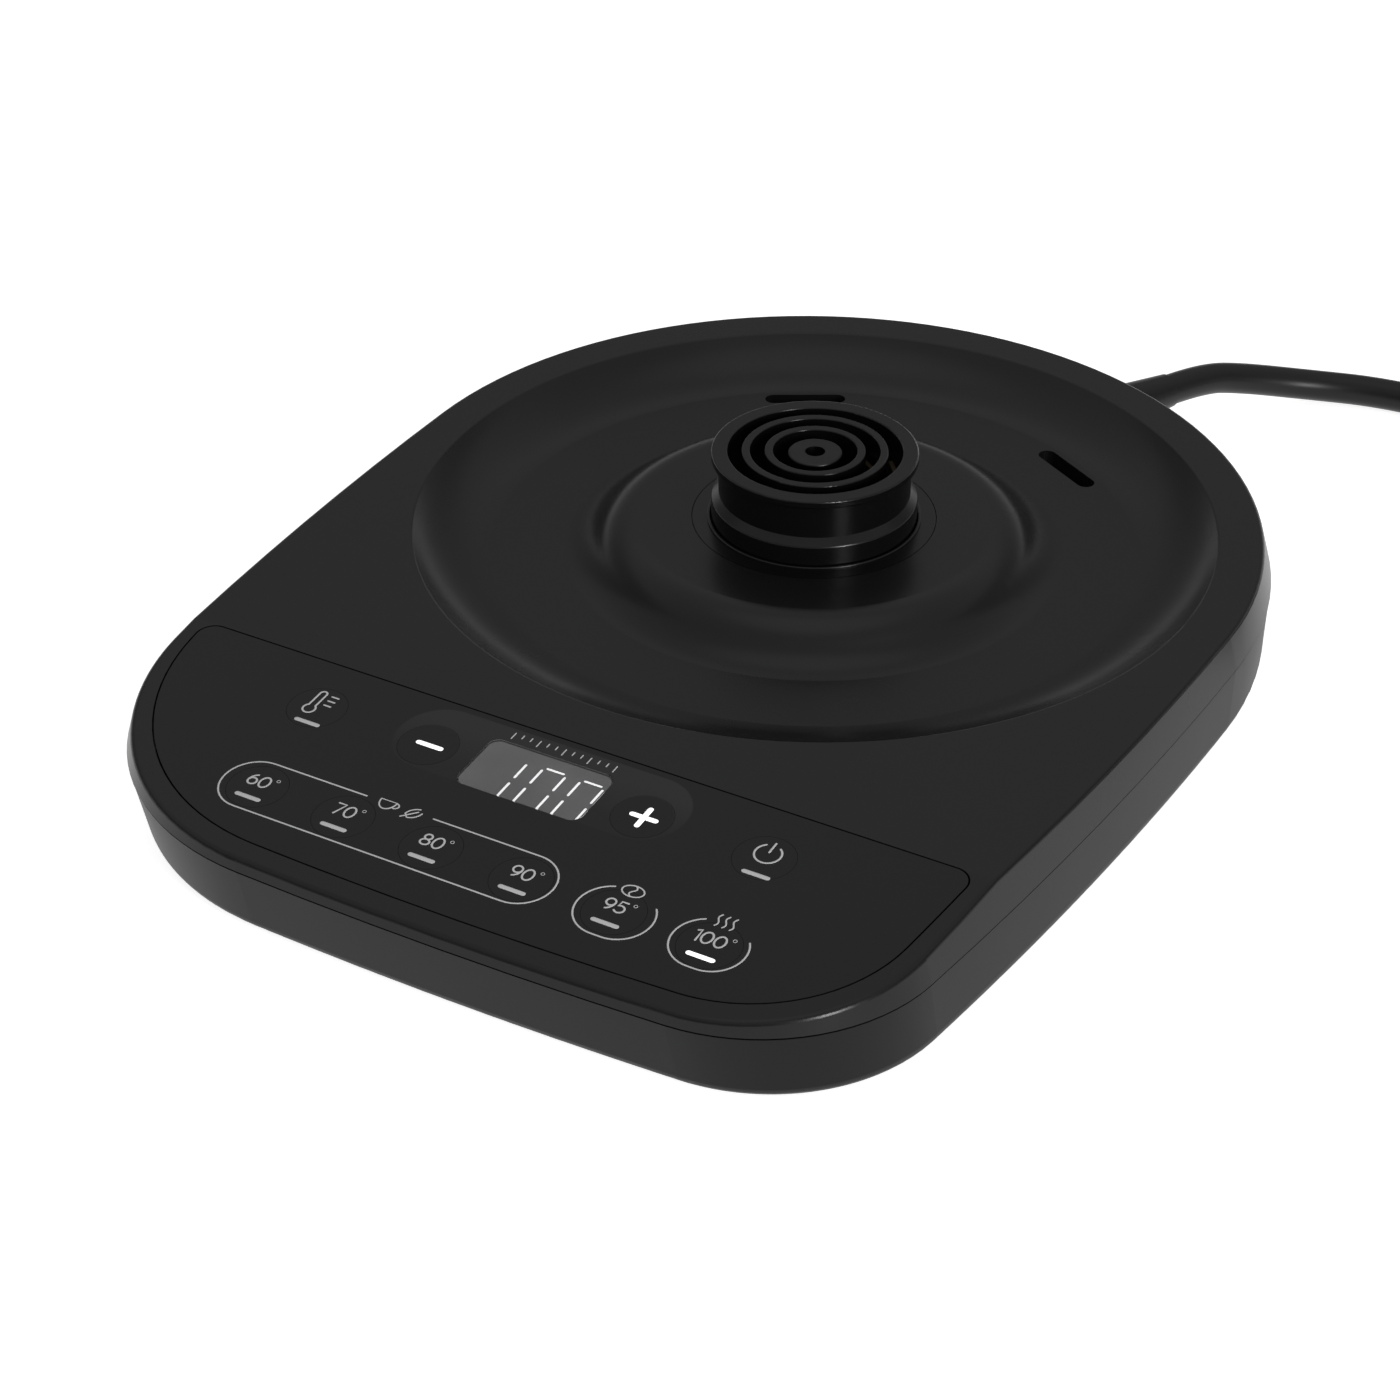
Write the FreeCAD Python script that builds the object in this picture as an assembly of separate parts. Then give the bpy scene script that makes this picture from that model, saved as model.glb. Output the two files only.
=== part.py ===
import FreeCAD, Part
import math
import os
from FreeCAD import Placement, Rotation, Vector

# Power base of an electric gooseneck kettle: a two-part housing with a dished seat and a round ring
# connector, a tilted control panel with a display and ten keys, the boards inside, and the mains cord.
# Millimetres, Z up, standing on Z = 0. The origin is under the middle of the housing, and +Y is the rear.

# Housing outline and heights
rear_radius = 82.0          # plan radius of the rear, about the connector's axis, at the seam
side_bow = 835.0            # radius of the gently bowed sides
front_bow = 790.0           # radius of the gently bowed front
left_corner_radius = 48.0   # the left front corner is the rounder one
right_corner_radius = 32.0
body_height = 20.8          # underside to the level top
wall = 2.2
seam_drop = 6.7             # level top down to the middle of the seam
seam_gap = 0.4
top_inset = 1.8             # lean of the upper wall
rim_round = 1.0
bottom_side_inset = 0.5     # lean of the lower wall at the sides and rear
bottom_front_inset = 3.8    # lean of the lower wall at the front
bottom_round = 3.0

# Dished seat round the connector
rim_land = 9.8              # housing outline at the seam in to the dish
dish_depth = 6.0
dish_curve = 18.0           # radius of the dish's flank in section
dish_edge_round = 0.5
mound_foot = 45.0           # radius where the middle mound starts to rise
mound_crest = 32.0          # radius where it is level again
mound_rise = 0.3            # mound top above the level top
drain_count = 2
drain_spread = 60.0         # degrees between the two drains
drain_inset = 2.98          # drains' middle in from the edge of the dish's floor
drain_length = 15.6
drain_width = 3.4
drain_wall = 1.4

# Ring connector
post_radius = 18.5          # lip and drum
neck_radius = 17.2
post_height = 13.4          # above the mound
lip_height = 1.6
drum_height = 4.1
drum_slope = 1.3            # sloped shoulder over the drum
post_round = 0.35
ring_round = 0.25
lip_inner = 15.6
ring_radii = [(13.1, 11.6), (9.0, 7.5)]
ring_slot_depth = 10.0
sleeve_radius = 4.9
sleeve_bore = 1.8
sleeve_bore_depth = 9.0
sleeve_drop = 0.3           # sleeve top below the ring tops
hidden_step = 0.2           # shaft under the drum, thinner than the drum
drum_start = 0.6            # drum's lower edge above the mound
collar_width = 3.25
collar_depth = 1.2
bead_width = 0.6
bead_height = 0.5
connector_boss_length = 4.0
connector_boss_radius = 24.5
connector_screw_count = 3
flange_radius = 28.0
flange_depth = 2.5
back_radius = 20.0
back_depth = 1.8
blade_width = 4.8
blade_depth = 0.8
blade_end_radius = 24.0     # connector's axis to the blade ends
blade_drop = 4.6            # back cover down to the blades
line_angle = 310.0
neutral_angle = 145.0
earth_angle = 90.0

# Control panel
panel_tilt = 5.2            # degrees, falling to the front
panel_setback = 10.5        # dish edge to the panel's rear seam
panel_length = 49.5         # panel's rear seam to the housing's front edge
panel_inset = 4.8           # panel edge in from the housing outline
panel_gap = 0.3
panel_corner = 3.0
fascia_depth = 2.0
gasket_depth = 0.4
ledge_width = 1.8
ledge_depth = 2.0
ledge_clear = 1.0           # ledge in from the lower wall

# Display
window_width = 23.4
window_length = 12.4
window_centre = 11.0        # down the panel from its rear seam
window_corner = 2.0
window_depth = 1.0
window_foot = 2.9           # panel face down to the window's underside
window_lip = 1.0
lcd_width = 31.0
lcd_length = 15.0
lcd_depth = 2.0
lcd_drop = 3.3              # panel face down to the display glass
lcd_frame = 1.1
lcd_cover = 1.0             # how far the frame laps the glass
light_width = 29.0
light_length = 10.0
strip_width = 2.0

# Keys: x is right of the middle, and v is down the panel from its rear seam
key_radius = 5.1
key_travel = 0.4
key_lip = 0.7
key_pad_depth = 1.0
key_stem_radius = 2.0
side_key_x = 42.15
side_key_v = 11.4
step_key_x = 20.2
step_key_v = 11.3
preset_first_x = -38.9
preset_pitch = 16.68
preset_front = 16.9         # middle of the presets back from the housing's front edge
preset_names = ["key_60", "key_70", "key_80", "key_90", "key_95", "key_100"]

# Boards
board_drop = 8.0            # panel face down to the control board
board_depth = 1.2
board_inset = 5.0           # board edge in from the housing outline
board_rear = 1.9            # rear edge behind the panel's rear seam
board_post_radius = 1.6
board_post_x = [-46.0, -14.0, 14.0, 46.0]
board_front_post_x = [-30.0, 30.0]
board_front_inset = 7.2     # front posts back from the housing's front edge
chip_v = 22.0               # chip and sounder, down the panel
switch_side = 6.0
switch_height = 2.0
actuator_radius = 1.5
led_size = (1.6, 0.8, 0.7)
led_offset = 4.6            # light in front of its key's middle
chip_side = 10.0
chip_depth = 1.6
buzzer_radius = 6.0
buzzer_depth = 3.6
power_width = 37.0
power_length = 25.0
power_side = 9.0            # power board in from the widest part of the housing
power_setback = 21.7        # its rear edge behind the panel's rear seam
power_board_lift = 3.6      # above the housing floor
power_board_depth = 1.6
relay_size = (20.0, 10.0, 10.0)
relay_place = (15.5, 6.0)   # middles on the power board, from its left and rear edges
transformer_size = (11.0, 12.0, 10.5)
transformer_place = (31.0, 11.5)
capacitor_size = (12.0, 6.0, 8.0)
capacitor_place = (12.0, 16.0)
fuse_radius = 3.5
fuse_height = 8.0
fuse_place = (21.8, 16.0)
header_width = 14.0
header_depth = 2.5
header_place = (20.0, 23.0)
tab_width = 4.8
tab_depth = 0.8
tab_height = 6.5
tab_x = 1.8
tab_y = [5.0, 11.0, 17.0]
tab_wire_height = 3.2       # wire ends above the power board

# Fasteners, feet and cord entry
screw_radius = 1.1
screw_head_radius = 2.8
screw_head_height = 1.8
small_screw_radius = 0.8
small_head_radius = 1.7
small_head_height = 1.2
post_wall = 2.0
counterbore_depth = 5.0
side_boss_angles = [-8.0, 35.0, 145.0, 188.0]
boss_gap = 2.0              # counterbore in from the rounded lower edge
front_boss_side = 11.0      # front screws in from the widest part of the housing
front_boss_setback = 27.7   # front screws behind the panel's rear seam
foot_height = 1.4
foot_radius = 6.5
foot_recess = 0.9
foot_round = 0.5
rear_foot_inset = 15.5      # rear feet in from the round rear
rear_foot_angles = [45.0, 135.0]
front_foot_side = 27.0      # front feet in from the widest part of the housing
front_foot_inset = 32.2     # front feet back from the front edge
entry_heading = 25.5        # cord's direction where it leaves, degrees right of straight back
entry_offset = -18.0        # cord's axis right of the connector's axis, across that direction
entry_height = 9.2
boot_radius = 5.0
boot_tip_radius = 3.4
boot_length = 21.0          # tip of the strain relief beyond the wall
boot_flange = 5.5
boot_flange_depth = 2.0
boot_groove = 0.5
boot_groove_count = 3
wire_fan = 56.6             # connector's axis to where the wires leave the sheath, along the cord
clamp_span = 24.0
clamp_length = 8.0
clamp_ear_depth = 2.2
clamp_bridge = 11.0
clamp_bridge_height = 4.8
clamp_screw_offset = 8.5
clamp_inset = 7.6           # clamp's middle in from the strain relief

# Wires: routes from the connector's axis, with stretches from the wire's tab, then the height
wire_radius = 1.0
wire_ring = 1.75            # wires off the sheath's middle
wire_lead = 6.5             # straight where a wire leaves the sheath or meets a tab
line_route = [(9.0, 45, 9.2), (18, 38.5, 7.8), (31, 33, 6.8), (42, 21, 6.6), (47, 4, 6.6), (47.5, -15, 6.6)]
line_tail = [(7.2, 30.6, 7.4), (2.2, 16.6, 10.4)]
neutral_route = [(-4, 46.0, 9.4), (-13.8, 41.8, 8.6), (-23, 35.2, 8.0), (-28.6, 27, 7.8), (-27.2, 19.05, 7.8)]
earth_route = [(2.6, 45, 7.6), (1.0, 38, 7.8), (0, 31, 7.8)]
load_head = [(-11.9, 6.0, 10.4), (-12.9, 18.0, 8.6)]
load_route = [(25.2, -43, 7.8), (21.2, -25.3, 7.8)]

# Cord and plug: the free stretch's points are chosen by hand, from the strain relief's tip, then the height
cord_radius = 3.1
cord_lead = 9.4             # straight out of the strain relief
cord_route = [(9.27, 16.19, 7.1), (20.17, 26.19, 3.8), (34.17, 31.79, 3.1), (53.57, 32.39, 3.1),
              (71.27, 32.19, 3.4)]
cord_approach = 14.0        # straight run into the coil
coil_place = (99.77, -10.91)    # middle of the coil from the strain relief's tip
coil_start_angle = 78.0
coil_outer = 37.0           # radius of the first turn
coil_pitch = 8.0            # spiral step in one turn
coil_layer = 7.0            # height of one layer
coil_turns_in = 1.5
coil_turns_climb = 0.5
coil_turns_out = 1.25
coil_lift = 1.2             # coil above the surface, on its tie
coil_tail = 26.0            # straight run from the coil to the plug
tie_depth = 0.7
tie_width = 8.0
tie_clear = 0.9
tie_turn = 0.5              # turns from the coil's start to the tie
plug_width = 26.0
plug_length = 30.0
plug_round = 4.0
plug_boot_length = 9.0
plug_boot_radius = 6.5
pin_width = 6.3
pin_depth = 1.6
pin_length = 16.5
pin_offset = 6.35
earth_pin_radius = 2.4
earth_pin_length = 19.0
earth_pin_offset = 6.0

# Clearances
fit_gap = 0.06              # sliding and press fits
loose_gap = 0.15
pocket_gap = 0.35           # round the lips that hold the keys
stop_gap = 0.05
near = 0.01                 # places this close are one

# Places worked out from the sizes above
dish_radius = rear_radius - rim_land
flank_run = math.sqrt(dish_depth * (2 * dish_curve - dish_depth))
floor_edge = dish_radius - flank_run
drain_radius = floor_edge - drain_inset
panel_rear = dish_radius + panel_setback
front_reach = panel_rear + panel_length
axis_y = (front_reach - rear_radius) / 2
collar_radius = post_radius + loose_gap + collar_width
z_bottom = foot_height
z_floor = z_bottom + wall
z_top = z_bottom + body_height
z_seam = z_top - seam_drop
z_mound = z_top + mound_rise
z_dish = z_top - dish_depth
z_post = z_mound + post_height
z_flange_top = z_mound - wall - connector_boss_length
z_flange = z_flange_top - flange_depth
z_back = z_flange - back_depth
z_blade = z_back - blade_drop
z_slot = z_post - ring_slot_depth
panel_y = axis_y - panel_rear
panel_place = Placement(Vector(0, panel_y, z_top), Rotation(Vector(1, 0, 0), panel_tilt))
panel_slope = math.tan(math.radians(panel_tilt))
preset_v = panel_length - preset_front
board_front_post_v = panel_length - board_front_inset
power_right = rear_radius - power_side
power_left = power_right - power_width
power_rear = panel_rear - power_setback
power_front = power_rear + power_length
wall_front = math.sqrt(rear_radius ** 2 - entry_offset ** 2)
boot_tip = wall_front + boot_length
boot_seat = rear_radius - wall - bottom_side_inset
boot_back = math.sqrt(boot_seat ** 2 - (abs(entry_offset) + boot_flange) ** 2) - loose_gap
sheath_back = boot_back - boot_flange_depth
clamp_y = sheath_back - clamp_inset
far = 4 * front_reach


def at(x, y, z=0.0):
    """A point from the connector's axis, in the part's frame."""
    return Vector(x, axis_y + y, z)


def polar(radius, degrees, z=0.0):
    """A point round the connector's axis."""
    angle = math.radians(degrees)
    return at(radius * math.cos(angle), radius * math.sin(angle), z)


def box(low, high):
    """A block between two corners."""
    size = Vector(*high) - Vector(*low)
    return Part.makeBox(size.x, size.y, size.z, Vector(*low))


def centred_box(x, y, z, width, length, height):
    """A block on z, centred on x and y."""
    return Part.makeBox(width, length, height, Vector(x - width / 2, y - length / 2, z))


def on_panel(shape):
    """Moves a shape from the panel's own frame, with its face at z = 0 and its rear seam at y = 0."""
    return shape.transformed(panel_place.toMatrix(), True)


def spun(shape, degrees):
    """Turns a shape about the connector's axis."""
    return shape.rotated(at(0, 0), Vector(0, 0, 1), degrees)


def turned(points):
    """A solid of revolution about the connector's axis from (radius, height) corners."""
    corners = [at(radius, 0, z) for radius, z in points]
    face = Part.Face(Part.makePolygon(corners + corners[:1]))
    return face.revolve(at(0, 0), Vector(0, 0, 1), 360)


def ring(inner, outer, low, high):
    """A flat ring about the connector's axis."""
    return turned([(inner, low), (outer, low), (outer, high), (inner, high)])


def slot_block(length, width, low, high):
    """An upright block with round ends, centred on the Z axis and long along Y."""
    straight = length - width
    block = centred_box(0, 0, low, width, straight, high - low)
    for side in (-1, 1):
        end = Part.makeCylinder(width / 2, high - low, Vector(0, side * straight / 2, low))
        block = block.fuse(end)
    return block.removeSplitter()


def rounded_plate(width, length, corner, low, high, centre_y=0.0):
    """A plate with round upright corners, centred across X."""
    plate = centred_box(0, centre_y, low, width, length, high - low)
    upright = [edge for edge in plate.Edges if abs(edge.tangentAt(edge.FirstParameter).z) > 0.9]
    return plate.makeFillet(corner, upright)


def round_edges(shape, radius, wanted):
    """Rounds the edges whose middle point passes the test."""
    chosen = []
    for edge in shape.Edges:
        middle = edge.valueAt((edge.FirstParameter + edge.LastParameter) / 2)
        if wanted(middle, edge):
            chosen.append(edge)
    return shape.makeFillet(radius, chosen)


def save(name, *solids):
    """Writes one node, which may hold several like solids."""
    shape = solids[0] if len(solids) == 1 else Part.makeCompound(list(solids))
    shape.exportStep("parts/" + name + ".step")


# Housing


def arc_about(centre, radius, start, end, z):
    """An arc at height z about a plan centre, between two angles in radians."""
    points = []
    for angle in (start, (start + end) / 2, end):
        points.append(Vector(centre[0] + radius * math.cos(angle), centre[1] + radius * math.sin(angle), z))
    return Part.Arc(*points).toShape()


def front_corner(radius, inset, front_inset):
    """Middle of a right front corner's arc, and its angles where it meets the side and the front."""
    side = Vector(rear_radius - side_bow, axis_y, 0)
    front = Vector(0, axis_y - front_reach + front_bow, 0)
    from_side = side_bow - inset - radius
    from_front = front_bow - front_inset - radius
    between = front - side
    along = (from_side ** 2 - from_front ** 2 + between.Length ** 2) / (2 * between.Length)
    across = math.sqrt(from_side ** 2 - along ** 2)
    step = between / between.Length
    middle = side + step * along + Vector(step.y, -step.x, 0) * across
    side_angle = math.atan2(middle.y - side.y, middle.x - side.x)
    front_angle = math.atan2(middle.y - front.y, middle.x - front.x)
    return middle, side_angle, front_angle


def plan_wire(z, inset, front_inset=None):
    """The housing's outline at height z, drawn in from the seam outline: arcs that run into each other."""
    if front_inset is None:
        front_inset = inset
    side_x = rear_radius - side_bow
    front_y = axis_y - front_reach + front_bow
    left_radius = left_corner_radius - inset
    right_radius = right_corner_radius - inset
    left, left_side, left_front = front_corner(left_radius, inset, front_inset)
    right, right_side, right_front = front_corner(right_radius, inset, front_inset)
    axis = (0, axis_y)
    half = math.pi / 2
    edges = [
        arc_about(axis, rear_radius - inset, 0, half, z),
        arc_about(axis, rear_radius - inset, half, 2 * half, z),
        arc_about((-side_x, axis_y), side_bow - inset, 2 * half, 2 * half - left_side, z),
        arc_about((-left.x, left.y), left_radius, 2 * half - left_side, 2 * half - left_front, z),
        arc_about((0, front_y), front_bow - front_inset, -2 * half - left_front, right_front, z),
        arc_about((right.x, right.y), right_radius, right_front, right_side, z),
        arc_about((side_x, axis_y), side_bow - inset, right_side, 0, z),
    ]
    return Part.Wire(edges)


def above_panel(lift=0.0):
    """The space over the tilted panel, ahead of its rear seam, raised by lift."""
    high = z_top + far
    corners = [
        Vector(-far, panel_y, z_top + lift),
        Vector(-far, panel_y - far, z_top + lift - far * panel_slope),
        Vector(-far, panel_y - far, high),
        Vector(-far, panel_y, high),
    ]
    return Part.Face(Part.makePolygon(corners + corners[:1])).extrude(Vector(2 * far, 0, 0))


def top_height(y):
    """Height of the housing's top at a place along the middle."""
    return z_top + min(y - panel_y, 0) * panel_slope


def upper_outside():
    """The upper housing before it is hollowed, with its rounded rim."""
    low = plan_wire(z_seam + seam_gap / 2, 0)
    high = plan_wire(z_top, top_inset)
    block = Part.makeLoft([low, high], True, True).cut(above_panel())

    def on_rim(middle, edge):
        return abs(middle.z - top_height(middle.y)) < 2 * near and abs(middle.y - panel_y) > 2 * near
    return round_edges(block, rim_round, on_rim)


def upper_inside():
    """The space inside the upper housing, open below."""
    low = plan_wire(z_seam - wall, wall)
    high = plan_wire(z_top - wall, wall + top_inset)
    return Part.makeLoft([low, high], True, True).cut(above_panel(-wall))


def dish_skin():
    """The dished seat, its mound and the recess for the connector's collar, as one turned skin."""
    flank_angle = math.asin(flank_run / dish_curve) / 2
    rise = (z_mound - z_dish) / 2
    run = (mound_foot - mound_crest) / 2
    sweep = math.atan2(rise, run)
    bend = run / math.sin(2 * sweep)

    def profile(shift):
        middle_radius = mound_foot - run
        flank_x = floor_edge + dish_curve * math.sin(flank_angle)
        flank_z = z_dish + dish_curve * (1 - math.cos(flank_angle))
        foot_mid = (mound_foot - bend * math.sin(sweep), z_dish + bend * (1 - math.cos(sweep)))
        crest_mid = (mound_crest + bend * math.sin(sweep), z_mound - bend * (1 - math.cos(sweep)))
        places = [
            (dish_radius, z_top), (flank_x, flank_z), (floor_edge, z_dish), (mound_foot, z_dish), foot_mid,
            (middle_radius, z_dish + rise), crest_mid, (mound_crest, z_mound), (neck_radius, z_mound),
        ]
        p = [at(radius, 0, z - shift) for radius, z in places]
        return p, [
            Part.Arc(p[0], p[1], p[2]).toShape(), Part.LineSegment(p[2], p[3]).toShape(),
            Part.Arc(p[3], p[4], p[5]).toShape(), Part.Arc(p[5], p[6], p[7]).toShape(),
            Part.LineSegment(p[7], p[8]).toShape(),
        ]
    top_points, top_edges = profile(0)
    low_points, low_edges = profile(wall)
    ends = [
        Part.LineSegment(top_points[-1], low_points[-1]).toShape(),
        Part.LineSegment(low_points[0], top_points[0]).toShape(),
    ]
    outline = Part.Wire(Part.__sortEdges__(top_edges + low_edges + ends))
    skin = Part.Face(outline).revolve(at(0, 0), Vector(0, 0, 1), 360)
    recess = Part.makeCylinder(collar_radius + loose_gap, wall, at(0, 0, z_mound - collar_depth))
    hole = Part.makeCylinder(collar_radius - post_wall, 2 * wall, at(0, 0, z_mound - 2 * wall))
    return skin.cut(recess).cut(hole)


def drain_block(extra, low, high):
    """Both drains as upright blocks, widened all round by extra."""
    blocks = []
    for index in range(drain_count):
        degrees = 90 + drain_spread * (index - (drain_count - 1) / 2)
        block = slot_block(drain_length + 2 * extra, drain_width + 2 * extra, low, high)
        blocks.append(spun(block.translated(at(drain_radius, 0)), degrees))
    return Part.makeCompound(blocks)


def panel_prism(inset, rear, corner):
    """A tall block with the panel's outline: the housing's outline drawn in, straight at the rear."""
    block = Part.Face(plan_wire(0, inset)).extrude(Vector(0, 0, 2 * z_top))
    block = block.common(box((-far, rear - far, 0), (far, rear, 2 * z_top)))

    def rear_corner(middle, edge):
        return abs(middle.y - rear) < near and abs(middle.z - z_top) < near
    return round_edges(block, corner, rear_corner)


def panel_slab(low, high):
    """The layer between two depths under the panel's face."""
    return on_panel(box((-far, -far, low), (far, far, high)))


def housing_boss_places():
    """Where the screws join the two housings."""
    edge = rear_radius - bottom_side_inset - bottom_round
    circle = edge - screw_head_radius - loose_gap - boss_gap
    places = [polar(circle, degrees) for degrees in side_boss_angles]
    front_x = rear_radius - front_boss_side
    front_y = front_boss_setback - panel_rear
    return places + [at(-front_x, front_y), at(front_x, front_y)]


def connector_boss_places():
    """Where the screws hold the connector under the mound."""
    step = 360 / connector_screw_count
    return [polar(connector_boss_radius, 90 + step * index) for index in range(connector_screw_count)]


def board_post_places():
    """Where the control board is screwed up, in the panel's frame."""
    rear = [(x, 0.0) for x in board_post_x]
    return rear + [(x, -board_front_post_v) for x in board_front_post_x]


def upper_posts():
    """The screw posts under the top plate, the mound and the panel's ledge."""
    posts = []
    for place in housing_boss_places():
        foot = place + Vector(0, 0, z_seam)
        posts.append(Part.makeCylinder(screw_radius + post_wall, z_top - wall + loose_gap - z_seam, foot))
    for place in connector_boss_places():
        foot = place + Vector(0, 0, z_flange_top)
        shelf = (wall - collar_depth) / 2
        posts.append(Part.makeCylinder(screw_radius + post_wall, connector_boss_length + shelf, foot))
    for x, y in board_post_places():
        height = board_drop - fascia_depth - gasket_depth - ledge_depth / 2
        posts.append(on_panel(Part.makeCylinder(board_post_radius, height, Vector(x, y, -board_drop))))
    return posts


def upper_pilots():
    """The screw holes in those posts."""
    pilots = []
    for place in housing_boss_places():
        foot = place + Vector(0, 0, z_seam)
        pilots.append(Part.makeCylinder(screw_radius + fit_gap, z_top - 2 * wall - z_seam, foot))
    for place in connector_boss_places():
        foot = place + Vector(0, 0, z_flange_top)
        pilots.append(Part.makeCylinder(screw_radius + fit_gap, connector_boss_length, foot))
    for x, y in board_post_places():
        depth = board_drop + ledge_bottom()
        foot = Vector(x, y, -board_drop)
        pilots.append(on_panel(Part.makeCylinder(small_screw_radius + fit_gap, depth, foot)))
    return pilots


def ledge_bottom():
    """Underside of the panel's ledge, in the panel's frame."""
    return -fascia_depth - gasket_depth - ledge_depth


def panel_opening():
    """The clear opening inside the panel's ledge."""
    return panel_prism(panel_inset + ledge_width, panel_y - ledge_width, panel_corner)


def upper_housing():
    """The top shell: seat, rim, panel recess with its ledge, drains and screw posts."""
    shell = upper_outside().cut(upper_inside())
    hole = Part.makeCylinder(dish_radius, far, at(0, 0, z_seam))
    shell = shell.cut(hole).fuse(dish_skin())
    ledge = panel_prism(wall + ledge_clear, panel_y + 2 * ledge_width, panel_corner)
    shell = shell.fuse(ledge.common(panel_slab(ledge_bottom(), -wall / 2)))
    recess = panel_prism(panel_inset - panel_gap, panel_y, panel_corner + panel_gap)
    shell = shell.cut(recess.common(panel_slab(-fascia_depth - gasket_depth, far)))
    shell = shell.cut(panel_opening().common(panel_slab(-far, far)))
    shell = shell.fuse(upper_posts())
    shell = shell.fuse(drain_block(drain_wall, z_bottom + wall / 4, z_dish - wall / 2).Solids)
    shell = shell.cut(drain_block(0, 0, z_top))
    shell = shell.cut(upper_pilots()).removeSplitter()

    def on_dish_edge(middle, edge):
        away = math.hypot(middle.x, middle.y - axis_y)
        return abs(away - dish_radius) < near and abs(middle.z - z_top) < near
    return round_edges(shell, dish_edge_round, on_dish_edge)


def foot_places():
    """Where the feet sit."""
    rear = [polar(rear_radius - rear_foot_inset, degrees) for degrees in rear_foot_angles]
    front_x = rear_radius - front_foot_side
    front_y = front_foot_inset - front_reach
    return rear + [at(-front_x, front_y), at(front_x, front_y)]


def entry_frame(shape):
    """Moves a shape from the cord entry's own frame, where the cord runs out along +Y at x = 0."""
    return spun(shape.translated(at(entry_offset, 0)), -entry_heading)


def entry_point(y, x=0.0, z=0.0):
    """A point in the cord entry's own frame, in the part's frame."""
    turn = Rotation(Vector(0, 0, 1), -entry_heading)
    return at(0, 0) + turn.multVec(Vector(entry_offset + x, y, entry_height + z))


def along_cord(radius, start, end):
    """A round bar along the cord entry's axis, from one distance off the connector's axis to another."""
    bar = Part.makeCylinder(radius, end - start, Vector(0, start, entry_height), Vector(0, 1, 0))
    return entry_frame(bar)


def lower_housing():
    """The tray: leaning wall with a rounded lower edge, floor, screw posts, saddle and cord hole."""
    low = plan_wire(z_bottom, bottom_side_inset, bottom_front_inset)
    high = plan_wire(z_seam - seam_gap / 2, loose_gap)
    block = Part.makeLoft([low, high], True, True)
    block = round_edges(block, bottom_round, lambda middle, edge: abs(middle.z - z_bottom) < near)
    lean = (bottom_front_inset - loose_gap) / (z_seam - z_bottom)
    inner_low = plan_wire(z_floor, wall + bottom_side_inset, wall + bottom_front_inset - lean * wall)
    inner_high = plan_wire(z_seam + wall, wall, wall - lean * wall)
    tray = block.cut(Part.makeLoft([inner_low, inner_high], True, True))
    posts = []
    for place in housing_boss_places():
        posts.append(Part.makeCylinder(screw_head_radius + post_wall, z_seam - z_bottom - wall / 2,
                                       place + Vector(0, 0, z_bottom + wall / 2)))
    for place in power_post_places():
        posts.append(Part.makeCylinder(small_screw_radius + post_wall, power_board_lift + wall / 2,
                                       place + Vector(0, 0, z_floor - wall / 2)))
    saddle = centred_box(0, clamp_y, z_floor - wall / 2, clamp_span, clamp_length,
                         entry_height - z_floor + wall / 2 - loose_gap)
    posts.append(entry_frame(saddle))
    low_limit = plan_wire(z_bottom, wall, wall + bottom_front_inset)
    high_limit = plan_wire(z_seam, wall / 2)
    outside = Part.makeLoft([low_limit, high_limit], True, True)
    tray = tray.fuse([post.common(outside) for post in posts])
    cuts = []
    for place in housing_boss_places():
        cuts.append(Part.makeCylinder(screw_radius + loose_gap, z_seam, place))
        foot = place + Vector(0, 0, z_bottom)
        cuts.append(Part.makeCylinder(screw_head_radius + loose_gap, counterbore_depth, foot))
    for place in power_post_places():
        foot = place + Vector(0, 0, z_floor)
        cuts.append(Part.makeCylinder(small_screw_radius + fit_gap, power_board_lift, foot))
    for place in foot_places():
        cuts.append(Part.makeCylinder(foot_radius + loose_gap, foot_recess, place + Vector(0, 0, z_bottom)))
    for side in (-1, 1):
        pilot = Part.makeCylinder(screw_radius + fit_gap, entry_height - z_floor,
                                  Vector(side * clamp_screw_offset, clamp_y, z_floor))
        cuts.append(entry_frame(pilot))
    cuts.append(along_cord(cord_radius + fit_gap, clamp_y - clamp_length, clamp_y + clamp_length))
    cuts.append(along_cord(boot_radius + loose_gap, boot_back, boot_tip))
    cuts.extend(drain_block(drain_wall + seam_gap, 0, z_floor + wall).Solids)
    return tray.cut(cuts).removeSplitter()


def feet():
    """Rubber feet, set into the floor and rounded at their lower edge."""
    solids = []
    for place in foot_places():
        pad = Part.makeCylinder(foot_radius, foot_height + foot_recess, place)
        solids.append(round_edges(pad, foot_round, lambda middle, edge: abs(middle.z) < near))
    return solids


def screw(place, head_z, shank_top, radius, head_radius, head_height):
    """An upright screw with its head underneath and a round drive in it."""
    foot = place + Vector(0, 0, head_z)
    head = Part.makeCylinder(head_radius, head_height, foot)
    shank = Part.makeCylinder(radius, shank_top - head_z, foot)
    drive = Part.makeCylinder(radius, head_height / 2, foot)
    return head.fuse(shank).cut(drive).removeSplitter()


def housing_screws():
    """The screws that join the two housings from below."""
    head_z = z_bottom + counterbore_depth - screw_head_height
    top = z_top - 3 * wall
    return [screw(place, head_z, top, screw_radius, screw_head_radius, screw_head_height)
            for place in housing_boss_places()]


# Connector


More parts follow.
